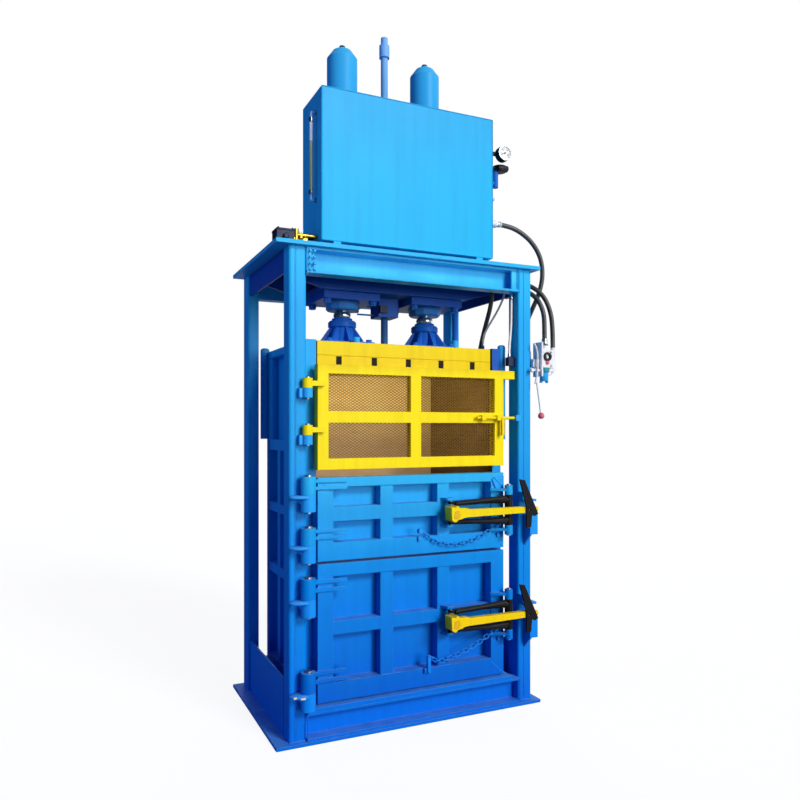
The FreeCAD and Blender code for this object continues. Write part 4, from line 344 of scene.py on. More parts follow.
def tone_by_height(tree, place, card, drift, patch):
    """The paint's tone at each height, darkened by runs of rain, and the noise that moves it."""
    patches = add(tree, "TexNoise", {"Vector": place, "Scale": 1 / patch, "Detail": 5.0,
                                     "Roughness": 0.6})
    wander = add(tree, "MapRange", {"Value": patches, "To Min": -drift, "To Max": drift})
    height = add(tree, "SeparateXYZ", {"Vector": place}).outputs["Z"]
    level = add(tree, "Math", {0: height, 1: wander}, operation="ADD")
    share = add(tree, "Math", {0: level, 1: TALL}, operation="DIVIDE")
    tone = add(tree, "ValToRGB", {"Fac": share}, stops=[(z / TALL, code) for z, code in card])
    streak = add(tree, "Mapping", {"Vector": place, "Scale": [1 / size for size in RAIN]})
    runs = add(tree, "TexNoise", {"Vector": streak, "Scale": 1.0, "Detail": 4.0})
    dark = add(tree, "MapRange", {"Value": runs, "From Min": 0.4, "From Max": 0.8,
                                  "To Min": 1.0, "To Max": 0.90})
    shaded = add(tree, "MixRGB", {"Fac": 1.0, "Color1": tone, "Color2": dark},
                 blend_type="MULTIPLY")
    return shaded, patches


print("ramp height", TALL)

# %% [markdown]
# Dust settles where a face looks up, and the same pale mix on upward faces is also painted light
# from above. Along a sharp edge the film pulls thin, then rubs through, and the pale edge tones of
# the blues are also painted highlights. A bevel node rounds the normal there by 4 mm, and where
# the rounded and the true normal differ, there is an edge.

# %% Dust, worn edges and painted light
EDGE, DUST, RUB_SPOT = 4 * MM, 91 * MM, 45.5 * MM  # how wide an edge and the patches are


def dust_wear_and_painted_light(tree, place, tone, dust, dust_and_top_light, edge_tone, edges):
    """Dust and painted light on tops, wear and painted highlights on edges, and the normal that
    rounds the edges.
    """
    up = add(tree, "SeparateXYZ", {"Vector": add(tree, "TexCoord").outputs["Normal"]})
    flat = add(tree, "MapRange", {"Value": up.outputs["Z"], "From Min": 0.6, "From Max": 0.95,
                                  "To Max": dust_and_top_light})
    soil = add(tree, "TexNoise", {"Vector": place, "Scale": 1 / DUST, "Detail": 6.0})
    top_dust_and_light = add(tree, "Math", {0: flat, 1: soil}, operation="MULTIPLY")
    dusted_and_top_lit = add(tree, "MixRGB", {"Fac": top_dust_and_light, "Color1": tone, "Color2": srgb(dust)})
    soft = add(tree, "Bevel", {"Radius": EDGE}, samples=4)
    sharp = add(tree, "NewGeometry").outputs["True Normal"]
    turn = add(tree, "VectorMath", {0: soft, 1: sharp}, operation="DOT_PRODUCT")
    edge = add(tree, "MapRange", {"Value": turn.outputs["Value"], "From Min": 0.98,
                                  "From Max": 0.80})
    rub = add(tree, "TexNoise", {"Vector": place, "Scale": 1 / RUB_SPOT, "Detail": 8.0,
                                 "Roughness": 0.7})
    worn = add(tree, "Math", {0: edge, 1: rub}, operation="MULTIPLY")
    thin = add(tree, "MapRange", {"Value": worn, "From Min": 0.30, "From Max": 0.62,
                                  "To Max": edges})
    return add(tree, "MixRGB", {"Fac": thin, "Color1": dusted_and_top_lit, "Color2": srgb(edge_tone)}), soft


print("edges rub over", EDGE, "m")

# %% [markdown]
# Sprayed enamel dries with a slight orange peel, dimples about 4 mm across, and shines a
# little less where it has faded. A paint card is a list of heights in metres and tones.

# %% Enamel
PEEL = 4 * MM


def enamel(name, card, rough=0.36, drift=0.10, edge_tone="#a9d4f2", edges=0.25,
           dust="#7fc0ee", dust_and_top_light=0.6, patch=455 * MM):
    """Sprayed alkyd enamel: its card, how far that drifts, its worn and highlit edges, and its
    dust and painted top light.
    """
    made, tree, place = blank(name)
    tone, patches = tone_by_height(tree, place, card, drift, patch)
    tone, soft = dust_wear_and_painted_light(tree, place, tone, dust, dust_and_top_light, edge_tone, edges)
    peel = add(tree, "TexNoise", {"Vector": place, "Scale": 1 / PEEL, "Detail": 2.0})
    bump = add(tree, "Bump", {"Height": peel, "Strength": 0.06, "Distance": 1 * MM,
                              "Normal": soft})
    gloss = add(tree, "MapRange", {"Value": patches, "To Min": rough - 0.06,
                                   "To Max": rough + 0.14})
    film = add(tree, "BsdfPrincipled", {"Base Color": tone, "Roughness": gloss, "Normal": bump,
                                        "IOR": 1.5, "Specular IOR Level": 0.1})
    add(tree, "OutputMaterial", {"Surface": film})
    return made


print("orange peel", PEEL, "m")

# %% [markdown]
# ## The blues
# Frame, doors, tank and press were sprayed as separate pieces, so each has its own card.
# To the eye they are one blue that goes from ultramarine at the floor to sky blue at the top. The
# press under the top plate is the deepest, as painted shade, and a few cards paint light and shade
# by height, as noted at each.

# %% Blues
# ultramarine at the floor and sky blue at the top
FRAME_BLUE = enamel("frame_enamel", [
    (0.10, "#006cd8"), (0.25, "#0078e0"), (0.55, "#0084e0"), (0.9, "#028ae0"),
    (1.15, "#1092e0"), (1.4, "#1a9de2"), (2.1, "#1ba9ea"), (2.3, "#24b8f2"), (2.42, "#2cbcf2")])
# painted light: the lightest, paler in the beam's upper band to cancel the top plate's shadow
# there
BEAM_BLUE = enamel("beam_enamel", [
    (2.255, "#28b0ec"), (2.32, "#32bcf4"), (2.35, "#42ccff"), (2.40, "#4cd4ff")],
    dust="#6fc8f2")
# darker at the sill than the columns beside it
DOOR_BLUE = enamel("door_enamel", [
    (0.18, "#0060c8"), (0.38, "#0070d0"), (0.60, "#007cd8"), (0.84, "#008ade"),
    (0.95, "#149ae4"), (1.10, "#1e9ee0"), (1.27, "#2ab2ea")], drift=0.06, patch=250 * MM)
# an even, slightly green blue in wide clouds
TANK_BLUE = enamel("tank_enamel", [(2.43, "#16b8ec"), (2.8, "#1cb8ee"), (3.15, "#26b0e8")],
                   drift=0.2, edges=0.12)
# painted shade: navy at the flange, under the top plate, and light under the dome
CYLINDER_BLUE = enamel("cylinder_enamel", [
    (2.3, "#0e54b6"), (2.6, "#1a7cc8"), (3.2, "#2aa0dc"), (3.6, "#36aae2")])
# the deepest, in the shade of the top plate
PRESS_BLUE = enamel("press_enamel", [(2.0, "#1c5cba"), (2.3, "#1a54ae")])
# a strong blue with pale edges, partly wear and partly painted highlight
MOUNT_BLUE = enamel("mount_enamel", [(1.95, "#1a62c4"), (2.12, "#1c68cc")], edges=0.4)
# painted light: a step lighter than the frame, so that what is welded on stands out and the hopper
# posts and door beads look lit in shade
LIGHT_BLUE = enamel("bracket_enamel", [
    (0.4, "#0a86ea"), (0.9, "#1c98ee"), (1.3, "#2aa6f0"), (2.0, "#30aef0")])
# a greyed blue that pales towards its tip
POLE_GREY = enamel("pole_enamel", [(2.2, "#2c5f9c"), (3.2, "#5a94c6"), (3.7, "#7ab4ea")],
                   edges=0.4)
# painted light: the palest, to keep the elbows on the tank's shaded left side bright
PIPE_BLUE = enamel("pipe_enamel", [(2.4, "#7cb8f0"), (3.2, "#94c8f8")], edges=0.4)
print("blues", [m.name for m in bpy.data.materials if "enamel" in m.name])

# %% [markdown]
# What moves or pinches is painted yellow, and the latch arms black. Yellow is a thin film over
# primer, so it wears to brown at its edges. Black shows bare steel there instead, and its grey
# edges are also a painted glint.

# %% Yellow and black
# warm and strong, with brown edges
YELLOW = enamel("yellow_enamel", [
    (0.45, "#f3cf0a"), (1.1, "#f4d808"), (1.35, "#fae30a"), (1.8, "#f8e20c"),
    (1.85, "#e8ca06"), (1.90, "#ecd006"), (2.0, "#f2d608")],
    edge_tone="#b98a1c", edges=0.55, dust="#d8c478", dust_and_top_light=0.3)
# glossy black with grey edges, partly bare steel and partly painted glint
BLACK = enamel("black_enamel", [(0.4, "#121316"), (1.3, "#17181b")], rough=0.3,
               edge_tone="#8a8a86", edges=0.6, dust="#55555a", dust_and_top_light=0.5)
print("made", YELLOW.name, BLACK.name)

# %% [markdown]
# ## Metals
# The rods are ground and hard chromed, pins are turned steel, taps are cast brass and
# fittings are plated with zinc. A plain grey would do from afar, but near by a metal is
# known by its marks: rings from a lathe or grains from a casting. So each has marks of
# its own size, squeezed along the axis that it was turned on. Real ones are finer than
# 1 mm, and these are as coarse as they need to be to show.

# %% Metals
def metal(name, code, rough, grain, strength=0.1, stretch=(1, 1, 1)):
    """A metal: its colour, its roughness and the size of the marks that its making leaves."""
    made, tree, place = blank(name)
    place = add(tree, "Mapping", {"Vector": place, "Scale": stretch})
    marks = add(tree, "TexNoise", {"Vector": place, "Scale": 1 / grain, "Detail": 4.0})
    stain = add(tree, "TexNoise", {"Vector": place, "Scale": 1 / (6 * grain), "Detail": 6.0})
    shade = tuple(c * 0.66 for c in srgb(code)[:3]) + (1,)
    tone = add(tree, "MixRGB", {"Fac": stain, "Color1": shade, "Color2": srgb(code)})
    gloss = add(tree, "MapRange", {"Value": marks, "To Min": rough - 0.05,
                                   "To Max": rough + 0.12})
    bump = add(tree, "Bump", {"Height": marks, "Strength": strength, "Distance": 0.5 * MM})
    solid = add(tree, "BsdfPrincipled", {"Base Color": tone, "Metallic": 1.0,
                                         "Roughness": gloss, "Normal": bump})
    add(tree, "OutputMaterial", {"Surface": solid})
    return made


# a near mirror, with grinding rings 2 mm apart round the rod
CHROME = metal("hard_chrome", "#f6f7f8", 0.22, 16.7 * MM, 0.02, (1, 1, 8))
# satin grey, with lathe rings round the pin
STEEL = metal("turned_steel", "#b4b7bc", 0.32, 8.3 * MM, 0.1, (1, 1, 6))
# warm and softly mottled, as sand casting leaves it
BRASS = metal("cast_brass", "#d9a93c", 0.34, 11 * MM)
# bright grey with a slight spangle
ZINC = metal("zinc_plate", "#d5dade", 0.26, 9 * MM)
print("metals", CHROME.name, STEEL.name, BRASS.name, ZINC.name)

# %% [markdown]
# ## Plastics and lacquers
# Boxes, knobs and seals are moulded in a spark-eroded tool, which leaves a texture of
# 0.1 mm, 2 mm here so that it shows. Handling soils them in patches 42 mm across.

# %% Plastics and lacquers
SOILED = 42 * MM


def moulded(name, low, high, rough, texture=2.1 * MM, strength=0.08):
    """Moulded plastic or smooth lacquer, with its soiled and its clean tone."""
    made, tree, place = blank(name)
    spark = add(tree, "TexNoise", {"Vector": place, "Scale": 1 / texture, "Detail": 2.0})
    soil = add(tree, "TexNoise", {"Vector": place, "Scale": 1 / SOILED, "Detail": 6.0})
    tone = add(tree, "MixRGB", {"Fac": soil, "Color1": srgb(low), "Color2": srgb(high)})
    bump = add(tree, "Bump", {"Height": spark, "Strength": strength, "Distance": 0.5 * MM})
    gloss = add(tree, "MapRange", {"Value": soil, "To Min": rough - 0.06, "To Max": rough + 0.1})
    solid = add(tree, "BsdfPrincipled", {"Base Color": tone, "Roughness": gloss,
                                         "Normal": bump, "Specular IOR Level": 0.25})
    add(tree, "OutputMaterial", {"Surface": solid})
    return made


# dull and nearly black
DARK_PLASTIC = moulded("black_abs", "#0e0f12", "#1c1e22", 0.5)
# the same, with a blue cast
NAVY_PLASTIC = moulded("navy_abs", "#0b1730", "#13254a", 0.45)
# smooth light grey over a casting
WHITE_LACQUER = moulded("white_lacquer", "#d4d8da", "#f2f4f4", 0.35)
# warm white card with no shine
DIAL_WHITE = moulded("dial_card", "#f0efe8", "#fbfbf7", 0.6, 1.1 * MM, 0.02)
# hard and glossy, its red gone pink
RED = moulded("red_phenolic", "#dc4454", "#ee7884", 0.3)
# rubbery and green blue
TEAL = moulded("teal_nitrile", "#16808a", "#2aa0a4", 0.4)
print("materials", len(bpy.data.materials))

# %% [markdown]
# ## The worn chamber
# Waste scours the paint off the inside of the chamber, and the steel turns brown with rust. The
# rust's brown is its own, and its tones also paint light and shade: paler above the bale, light on
# the rear wall and dark on the side walls and floor. A second piece could line the walls, but the
# same node holds the painted outside, so the finish looks at where a point lies and gives only the
# inner faces the bare steel. Scrapes run sideways, 139 by 46 mm.

# %% Rusted steel
SCRAPE = (139 * MM, 139 * MM, 46.3 * MM)


def rusted_tone(tree, place, height, tones):
    """Blotched rust in two tones below, which change to two paler ones above the bale as painted
    light.
    """
    lit_above = add(tree, "MapRange", {"Value": height, "From Min": 1.42, "From Max": 1.70})
    scrape = add(tree, "Mapping", {"Vector": place, "Scale": [1 / size for size in SCRAPE]})
    blotch = add(tree, "TexNoise", {"Vector": scrape, "Scale": 1.0, "Detail": 8.0,
                                    "Roughness": 0.7})
    low, high = [add(tree, "MixRGB", {"Fac": blotch, "Color1": srgb(dark), "Color2": srgb(pale)})
                 for dark, pale in (tones[:2], tones[2:])]
    return add(tree, "MixRGB", {"Fac": lit_above, "Color1": low, "Color2": high})


# painted light and shade: lit rust tones for the rear wall, shaded ones for the side walls and
# floor
LIT_RUST = ("#8a6a4c", "#c8a680", "#d8aa58", "#f2d48e")
SHADED_RUST = ("#3a2a1c", "#66492e", "#4a3216", "#6e4c22")
print("rust", LIT_RUST, SHADED_RUST)

# %% [markdown]
# The scoured finish is a copy of an enamel with the rust mixed in before the shader. The
# rust is dull, and the enamel outside keeps a satin shine.

# %% Scoured finishes
def scoured(name, paint, axis, test, limit, tones, both_sides=False):
    """Enamel outside, and rusted steel where the test on one axis holds."""
    made = paint.copy()
    made.name = name
    tree = made.node_tree
    shader = next(node for node in tree.nodes if node.type == "BSDF_PRINCIPLED")
    enamelled = shader.inputs["Base Color"].links[0].from_socket
    place = add(tree, "TexCoord").outputs["Object"]
    axes = add(tree, "SeparateXYZ", {"Vector": place})
    along_axis = axes.outputs[axis]
    if both_sides:
        along_axis = add(tree, "Math", {0: along_axis}, operation="ABSOLUTE")
    inner = add(tree, "Math", {0: along_axis, 1: limit}, operation=test)
    rust = rusted_tone(tree, place, axes.outputs["Z"], tones)
    tone = add(tree, "MixRGB", {"Fac": inner, "Color1": enamelled, "Color2": rust})
    tree.links.new(tone.outputs[0], shader.inputs["Base Color"])
    dull = add(tree, "MapRange", {"Value": inner, "To Min": 0.36, "To Max": 0.78})
    tree.links.new(dull.outputs[0], shader.inputs["Roughness"])
    return made


SIDE_X, REAR_Y, FLOOR_Z = 0.5135, 0.3935, 0.1705  # planes that part the paint from the rust
INNER_SIDES = ("X", "LESS_THAN", SIDE_X, SHADED_RUST, True)
# painted light: pale, sandy brown that brightens upwards, the lit rust tones
REAR_WALL = scoured("rear_wall_steel", FRAME_BLUE, "Y", "LESS_THAN", REAR_Y, LIT_RUST)
# painted shade: dark brown inside, the shaded rust tones, and frame blue outside
SIDE_WALL = scoured("side_wall_steel", FRAME_BLUE, *INNER_SIDES)
# painted shade: the same, with the press's deep blue outside, where the side stands in shade
FEED_WALL = scoured("feed_wall_steel", PRESS_BLUE, *INNER_SIDES)
# painted shade: dark brown on top, in the shaded rust tones, and frame blue round its edges
FLOOR_STEEL = scoured("chamber_floor_steel", FRAME_BLUE, "Z", "GREATER_THAN", FLOOR_Z, SHADED_RUST)
print("scoured", REAR_WALL.name, SIDE_WALL.name, FEED_WALL.name, FLOOR_STEEL.name)

# %% [markdown]
# ## Dress the frame
# Each node of the frame takes its finish. A node's own shape stays as it was drawn, so
# only its material slots change.

# %% Dress the frame
DRESS = [
    (FRAME_BLUE, "base_plate column_front_left column_front_right column_rear_left "
                 "column_rear_right base_beam_front base_beam_rear base_side_plates top_plate"),
    (BEAM_BLUE, "top_beam_front top_beam_rear"),
    (LIGHT_BLUE, "latch_keepers hinge_brackets lower_chain upper_chain"),
    (REAR_WALL, "chamber_wall_rear"),
    (SIDE_WALL, "chamber_wall_left chamber_wall_right feed_side_left"),
    (FEED_WALL, "feed_side_right"),
    (FLOOR_STEEL, "chamber_floor"),
    (PRESS_BLUE, "crosshead guide_sleeve top_side_beams"),
    (CYLINDER_BLUE, "cylinder_left cylinder_right"),
    (DOOR_BLUE, "lower_door upper_door"),
    (TANK_BLUE, "oil_tank sight_tube"),
    (YELLOW, "platen mesh_door_frame mesh_panels lower_latch_bar upper_latch_bar mesh_bolt"),
    (BLACK, "lower_latch_link upper_latch_link lower_latch_lever upper_latch_lever"),
    (MOUNT_BLUE, "rod_mount_left rod_mount_right"),
    (CHROME, "piston_rod_left piston_rod_right"),
    (POLE_GREY, "guide_pole"),
    (STEEL, "hinge_pins lower_latch_pins upper_latch_pins"),
    (ZINC, "tank_valve hose_return hose_valve_left hose_valve_right inner_hose "
           "sensor_cable switch_conduit"),
    (NAVY_PLASTIC, "switch_boxes"),
    (DARK_PLASTIC, "pressure_gauge"),
    (BRASS, "drain_valve"),
    (WHITE_LACQUER, "manual_valve valve_lever"),
]
for finish, names in DRESS:
    for name in names.split():
        mesh = NODES[name].data
        mesh.materials.clear()
        mesh.materials.append(finish)
print("dressed", sum(len(names.split()) for finish, names in DRESS), "of", len(NODES))

# %% [markdown]
# ## A piece from a bmesh
# Every new piece is shaped in a bmesh and then becomes an object that rides on a body of
# the machine. Faces are turned outward first, because spin and mirror can flip them.

# %% Piece helpers
def keep(name, bm, finish, slot, body="press_frame", smooth=0.0, hides=()):
    """Makes a piece that rides on a body; faces that meet under an angle shade smooth."""
    bmesh.ops.recalc_face_normals(bm, faces=bm.faces)
    mesh = bpy.data.meshes.new(name)
    bm.to_mesh(mesh)
    bm.free()
    mesh.materials.append(finish)
    if smooth:
        mesh.shade_smooth()
        mesh.set_sharp_from_angle(angle=math.radians(smooth))
    made = bpy.data.objects.new(name, mesh)
    scene.collection.objects.link(made)
    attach(made, body)
    if hides:
        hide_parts(*hides)
    print(name, "faces", len(mesh.polygons))


def pour(bm, part):
    """Adds a finished part to a bmesh and frees it."""
    loose = bpy.data.meshes.new("loose")
    part.to_mesh(loose)
    part.free()
    bm.from_mesh(loose)
    bpy.data.meshes.remove(loose)


print("helpers", keep.__name__, pour.__name__)

# %% [markdown]
# ## Expanded mesh
# The feed door's panes are expanded metal: a slit sheet is stretched until the slits
# open into diamonds, here 22 by 14 mm. From a few steps away it reads as two crossing
# sets of strands, so each pane gets two sets of thin bars, cut off at the pane's edge.
# Its yellow is dark and brownish, darker than the frame: partly worn paint over brown steel,
# partly painted shade on the strands.

# %% Expanded mesh
MESH_PAINT = enamel("mesh_enamel", [(1.37, "#8c6a26"), (1.6, "#96722a"), (1.8, "#9c7a2e")],
                    edge_tone="#4a3414", edges=0.6, drift=0.2, patch=111 * MM)
DIAMOND_LONG, DIAMOND_TALL = 22 * MM, 14 * MM
STRAND, SHEET = 3.0 * MM, 1.8 * MM
PANES = [(x0, x1, z0, z1) for x0, x1 in ((-0.477, -0.030), (0.030, 0.477))
         for z0, z1 in ((1.373, 1.549), (1.606, 1.791))]


def strands(bm, middle, reach, slant):
    """Parallel bars at a slant, side by side over the reach."""
    pitch = DIAMOND_LONG * abs(math.sin(slant))
    half = int(reach / pitch / 2) + 1
    aside = Vector((-math.sin(slant), 0, math.cos(slant)))
    turn = Matrix.Rotation(-slant, 4, "Y") @ Matrix.Diagonal((reach, SHEET, STRAND, 1))
    for i in range(-half, half + 1):
        place = Matrix.Translation(middle + aside * (i * pitch)) @ turn
        bmesh.ops.create_cube(bm, size=1, matrix=place)


panels = bmesh.new()
for x0, x1, z0, z1 in PANES:
    pane = bmesh.new()
    for slant in (1, -1):
        strands(pane, Vector(((x0 + x1) / 2, -0.415, (z0 + z1) / 2)), math.hypot(x1 - x0, z1 - z0),
                slant * math.atan2(DIAMOND_TALL, DIAMOND_LONG))
    for corner, push in (((x0, 0, 0), (-1, 0, 0)), ((x1, 0, 0), (1, 0, 0)),
                         ((0, 0, z0), (0, 0, -1)), ((0, 0, z1), (0, 0, 1))):
        bmesh.ops.bisect_plane(pane, geom=[*pane.verts, *pane.edges, *pane.faces],
                               plane_co=corner, plane_no=push, clear_outer=True)
    pour(panels, pane)
keep("expanded_mesh", panels, MESH_PAINT, "yellow_paint", "mesh_door", hides=["mesh_panels"])

# %% [markdown]
# ## Turned parts
# Ferrules, nuts and knobs are turned on a lathe. So a profile of radius and height pairs
# is spun about an axis, which gives every ring and chamfer as the lathe does.

# %% Turned parts
UP, DOWN, OUT = (0, 0, 1), (0, 0, -1), (0, -1, 0)  # OUT is towards the operator


def standing(foot, towards):
    """The matrix that stands a shape on a foot, with its height along a direction."""
    return Matrix.Translation(foot) @ Vector(towards).to_track_quat("Z", "Y").to_matrix().to_4x4()


def turned(bm, profile, foot, towards=UP, sides=24):
    """A part turned on a lathe: radius and height pairs, spun about an axis."""
    lathe = bmesh.new()
    verts = [lathe.verts.new((radius, 0, high)) for radius, high in profile]
    edges = [lathe.edges.new(pair) for pair in zip(verts, verts[1:])]
    bmesh.ops.spin(lathe, geom=verts + edges, cent=(0, 0, 0), axis=UP, angle=math.tau,
                   steps=sides, use_merge=True)
    bmesh.ops.remove_doubles(lathe, verts=lathe.verts, dist=0.01 * MM)
    bmesh.ops.transform(lathe, matrix=standing(foot, towards), verts=lathe.verts)
    pour(bm, lathe)


print("helper", turned.__name__)

# %% [markdown]
# Bolts and pins are round bars with hex heads. A hex head 10 mm across its flats reaches
# 5.77 mm from its middle to its corners. It narrows a little to its top, which stands for
# the chamfer. Every head sits on a washer.

# %% Bars and bolts
def bar(bm, foot, head, radius, tip=None, sides=16):
    """A round bar between two points; with a tip radius it tapers."""
    foot, head = Vector(foot), Vector(head)
    bmesh.ops.create_cone(bm, cap_ends=True, segments=sides, radius1=radius,
                          radius2=radius if tip is None else tip, depth=(head - foot).length,
                          matrix=standing((foot + head) / 2, head - foot))


def hex_heads(bm, spots, towards, across, tall):
    """Hex bolt heads on washers, all facing one way."""
    towards = Vector(towards)
    for spot in spots:
        washer = Vector(spot) + towards * 2 * MM
        bar(bm, spot, washer, across * 0.62, sides=14)
        bar(bm, washer, washer + towards * tall, across * 0.577, across * 0.54, sides=6)


print("helpers", bar.__name__, hex_heads.__name__)

# %% [markdown]
# ## Hose ends
# Each hose ends in a steel ferrule that is crimped round the rubber, and a hex nut that
# draws it onto its port. Ferrules are turned, with rings where the press jaws bit. Their
# profile is in radii of the hose, so a thin cable gets a small one.

# %% Hose ends
FERRULE = [(0.8, 0), (1.22, 0.1), (1.22, 0.9), (1.1, 1.0), (1.22, 1.1), (1.22, 1.9),
           (1.1, 2.0), (1.22, 2.1), (1.2, 2.9), (1.03, 3.1)]
VALVE_PIPE = 0.85  # the end beyond this x sits on the hand valve's own pipe
bm = bmesh.new()
for diameter, length, points in ROUTES.values():
    r = diameter / 2
    for end, inner in ((points[0], points[1]), (points[-1], points[-2])):
        end, inner = Vector(end), Vector(inner)
        if end.x < VALVE_PIPE:
            towards = (inner - end).normalized()
            turned(bm, [(wide * r, high * r) for wide, high in FERRULE], end, towards, 20)
            bar(bm, end, end + towards * 0.7 * r, 1.5 * r, sides=6)
keep("hose_ferrules", bm, ZINC, "fitting_steel", smooth=40)

# %% [markdown]
# ## Glands
# Under the crosshead each cylinder has a square flange with four bolts and a faceted
# gland nut, which holds the rod's seal. The nut has twelve flats, so its profile is spun
# in twelve steps. A short leak pipe joins the left gland.

# %% Glands
CYL_X, CYL_Y = 0.255, -0.027  # the cylinders' axes
# lighter than the press above, because its flats catch the light
GLAND_BLUE = enamel("gland_enamel", [(2.16, "#2f7cca"), (2.20, "#3a88d2")], edges=0.5)
nuts, bolts = bmesh.new(), bmesh.new()
for x in (-CYL_X, CYL_X):
    turned(nuts, [(0.040, 2.1675), (0.080, 2.1675), (0.088, 2.172), (0.092, 2.178),
                  (0.092, 2.202), (0.098, 2.204), (0.098, 2.210)], (x, CYL_Y, 0), sides=12)
    hex_heads(bolts, [(x + i * 0.13, CYL_Y + j * 0.13, 2.210) for i in (-1, 1) for j in (-1, 1)],
              DOWN, 36 * MM, 20 * MM)
bar(bolts, (-0.165, CYL_Y, 2.158), (-0.058, CYL_Y, 2.158), 5 * MM)
keep("gland_nuts", nuts, GLAND_BLUE, "press_paint")
keep("flange_bolts", bolts, MOUNT_BLUE, "press_paint", smooth=25)

# %% [markdown]
# ## Rod nuts and mounts
# A chromed rod ends in a round nut on the platen's mount, which is bolted down at four
# corners and carries a collar. A tall stud and two stops stand beside the mounts.

# %% Rod nuts and mounts
nuts, studs, stops = bmesh.new(), bmesh.new(), bmesh.new()
for x in (-CYL_X, CYL_X):
    turned(nuts, [(0.0345, 2.122), (0.044, 2.128), (0.049, 2.140), (0.047, 2.152),
                  (0.038, 2.161), (0.0345, 2.163)], (x, CYL_Y, 0), sides=28)
    hex_heads(studs, [(x + i * 0.112, CYL_Y + j * 0.112, 1.975) for i in (-1, 1) for j in (-1, 1)],
              UP, 32 * MM, 16 * MM)
    turned(studs, [(0.066, 2.072), (0.078, 2.078), (0.078, 2.104), (0.070, 2.112),
                   (0.058, 2.114)], (x, CYL_Y, 0), sides=16)
bar(studs, (0.418, -0.100, 1.961), (0.418, -0.100, 2.190), 17 * MM)
bar(stops, (-0.238, -0.200, 1.961), (-0.238, -0.200, 2.006), 19 * MM)
bar(stops, (0.418, -0.100, 1.961), (0.418, -0.100, 2.030), 22 * MM)
keep("rod_nuts", nuts, CHROME, "chromed_rod", "platen", smooth=60)
keep("mount_studs", studs, MOUNT_BLUE, "mount_paint", "platen", smooth=30)
keep("platen_collars", stops, LIGHT_BLUE, "mount_paint", "platen", smooth=40)

# %% [markdown]
# ## Bent wire and sawn blocks
# A chain link is bent from wire, and the post it hangs on is sawn from bar. Wire bends as
# a hose does, so the same curve is drawn and turned into a mesh. A sawn block's edges are
# broken with a file, which gives them the thin highlight that a plain box lacks.

# %% Bent wire and sawn blocks
def wire_mesh(points, radius, closed=False, fine=8, round_steps=2):
    """The mesh of a wire or pipe bent along a few points."""
    curve = bent_line("wire", points, radius, closed, fine, round_steps)
    holder = bpy.data.objects.new("wire", curve)
    mesh = bpy.data.meshes.new_from_object(holder)
    bpy.data.objects.remove(holder)
    bpy.data.curves.remove(curve)
    return mesh


def block(bm, low, high, broken=1.5 * MM):
    """A block between two corners, its edges broken by a small bevel."""
    low, high = Vector(low), Vector(high)
    place = Matrix.Translation((low + high) / 2) @ Matrix.Diagonal((*(high - low), 1))
    corners = bmesh.ops.create_cube(bm, size=1, matrix=place)["verts"]
    edges = list({edge for vert in corners for edge in vert.link_edges})
    bmesh.ops.bevel(bm, geom=edges, offset=broken, segments=2, profile=0.5, affect="EDGES",
                    material=-1)


print("helpers", wire_mesh.__name__, block.__name__)

# %% [markdown]
# ## Steel chains
# Each door's safety pin hangs on a light welded chain. A link is one wire bent to an
# oval and welded, and every second link is turned on edge. The chain hangs along a
# smooth curve, and links are set along it at an equal pitch.

# %% Chain curves
CHAINS = {
    "upper": [(0.034, -0.447, 0.984), (0.086, -0.448, 0.938), (0.163, -0.449, 0.912),
              (0.253, -0.449, 0.906), (0.345, -0.449, 0.922), (0.426, -0.448, 0.962),
              (0.494, -0.446, 0.992)],
    "lower": [(0.069, -0.450, 0.336), (0.110, -0.450, 0.304), (0.163, -0.450, 0.302),
              (0.253, -0.450, 0.328), (0.345, -0.450, 0.358), (0.426, -0.449, 0.402),
              (0.494, -0.446, 0.432)],
}
LINK_LONG, LINK_WIDE, LINK_WIRE, LINK_PITCH = 32 * MM, 19 * MM, 2.6 * MM, 24 * MM


def along(points, pitch):
    """Places and directions at an equal pitch along the smooth curve of some points."""
    line = wire_mesh(points, 0, fine=12)
    path = [vert.co.copy() for vert in line.vertices]
    bpy.data.meshes.remove(line)
    spots, gone, due = [], 0.0, pitch / 2
    for a, b in zip(path, path[1:]):
        step = (b - a).length
        while step and gone + step >= due:
            spots.append((a.lerp(b, (due - gone) / step), (b - a).normalized()))
            due += pitch
        gone += step
    return spots


print("links", {name: len(along(points, LINK_PITCH)) for name, points in CHAINS.items()})

# %% [markdown]
# The upper chain starts at a pin that stands out of the door, the lower one at a post.

# %% Chain links
long, wide = LINK_LONG / 2, LINK_WIDE / 2
OVAL = [(0, -wide, 0), (long, -wide, 0), (long, 0, 0), (long, wide, 0),
        (0, wide, 0), (-long, wide, 0), (-long, 0, 0), (-long, -wide, 0)]
link = wire_mesh(OVAL, LINK_WIRE, closed=True, fine=3, round_steps=1)
for name, points in CHAINS.items():
    bm = bmesh.new()
    for i, (spot, towards) in enumerate(along(points, LINK_PITCH)):
        tilt = Vector((1, 0, 0)).rotation_difference(towards).to_matrix().to_4x4()
        roll = Matrix.Rotation(math.radians(60 if i % 2 else -15), 4, "X")
        one = bmesh.new()
        one.from_mesh(link)
        bmesh.ops.transform(one, matrix=Matrix.Translation(spot) @ tilt @ roll, verts=one.verts)
        pour(bm, one)
    if name == "lower":
        block(bm, (0.060, -0.456, 0.250), (0.078, -0.437, 0.340))
    else:
        bar(bm, (0.017, -0.437, 0.989), (0.017, -0.462, 0.989), 13 * MM)
        bar(bm, (0.017, -0.449, 0.989), (0.040, -0.449, 0.982), 6 * MM)
    keep(name + "_links", bm, LIGHT_BLUE, "door_paint", name + "_door", smooth=50,
         hides=[name + "_chain"])

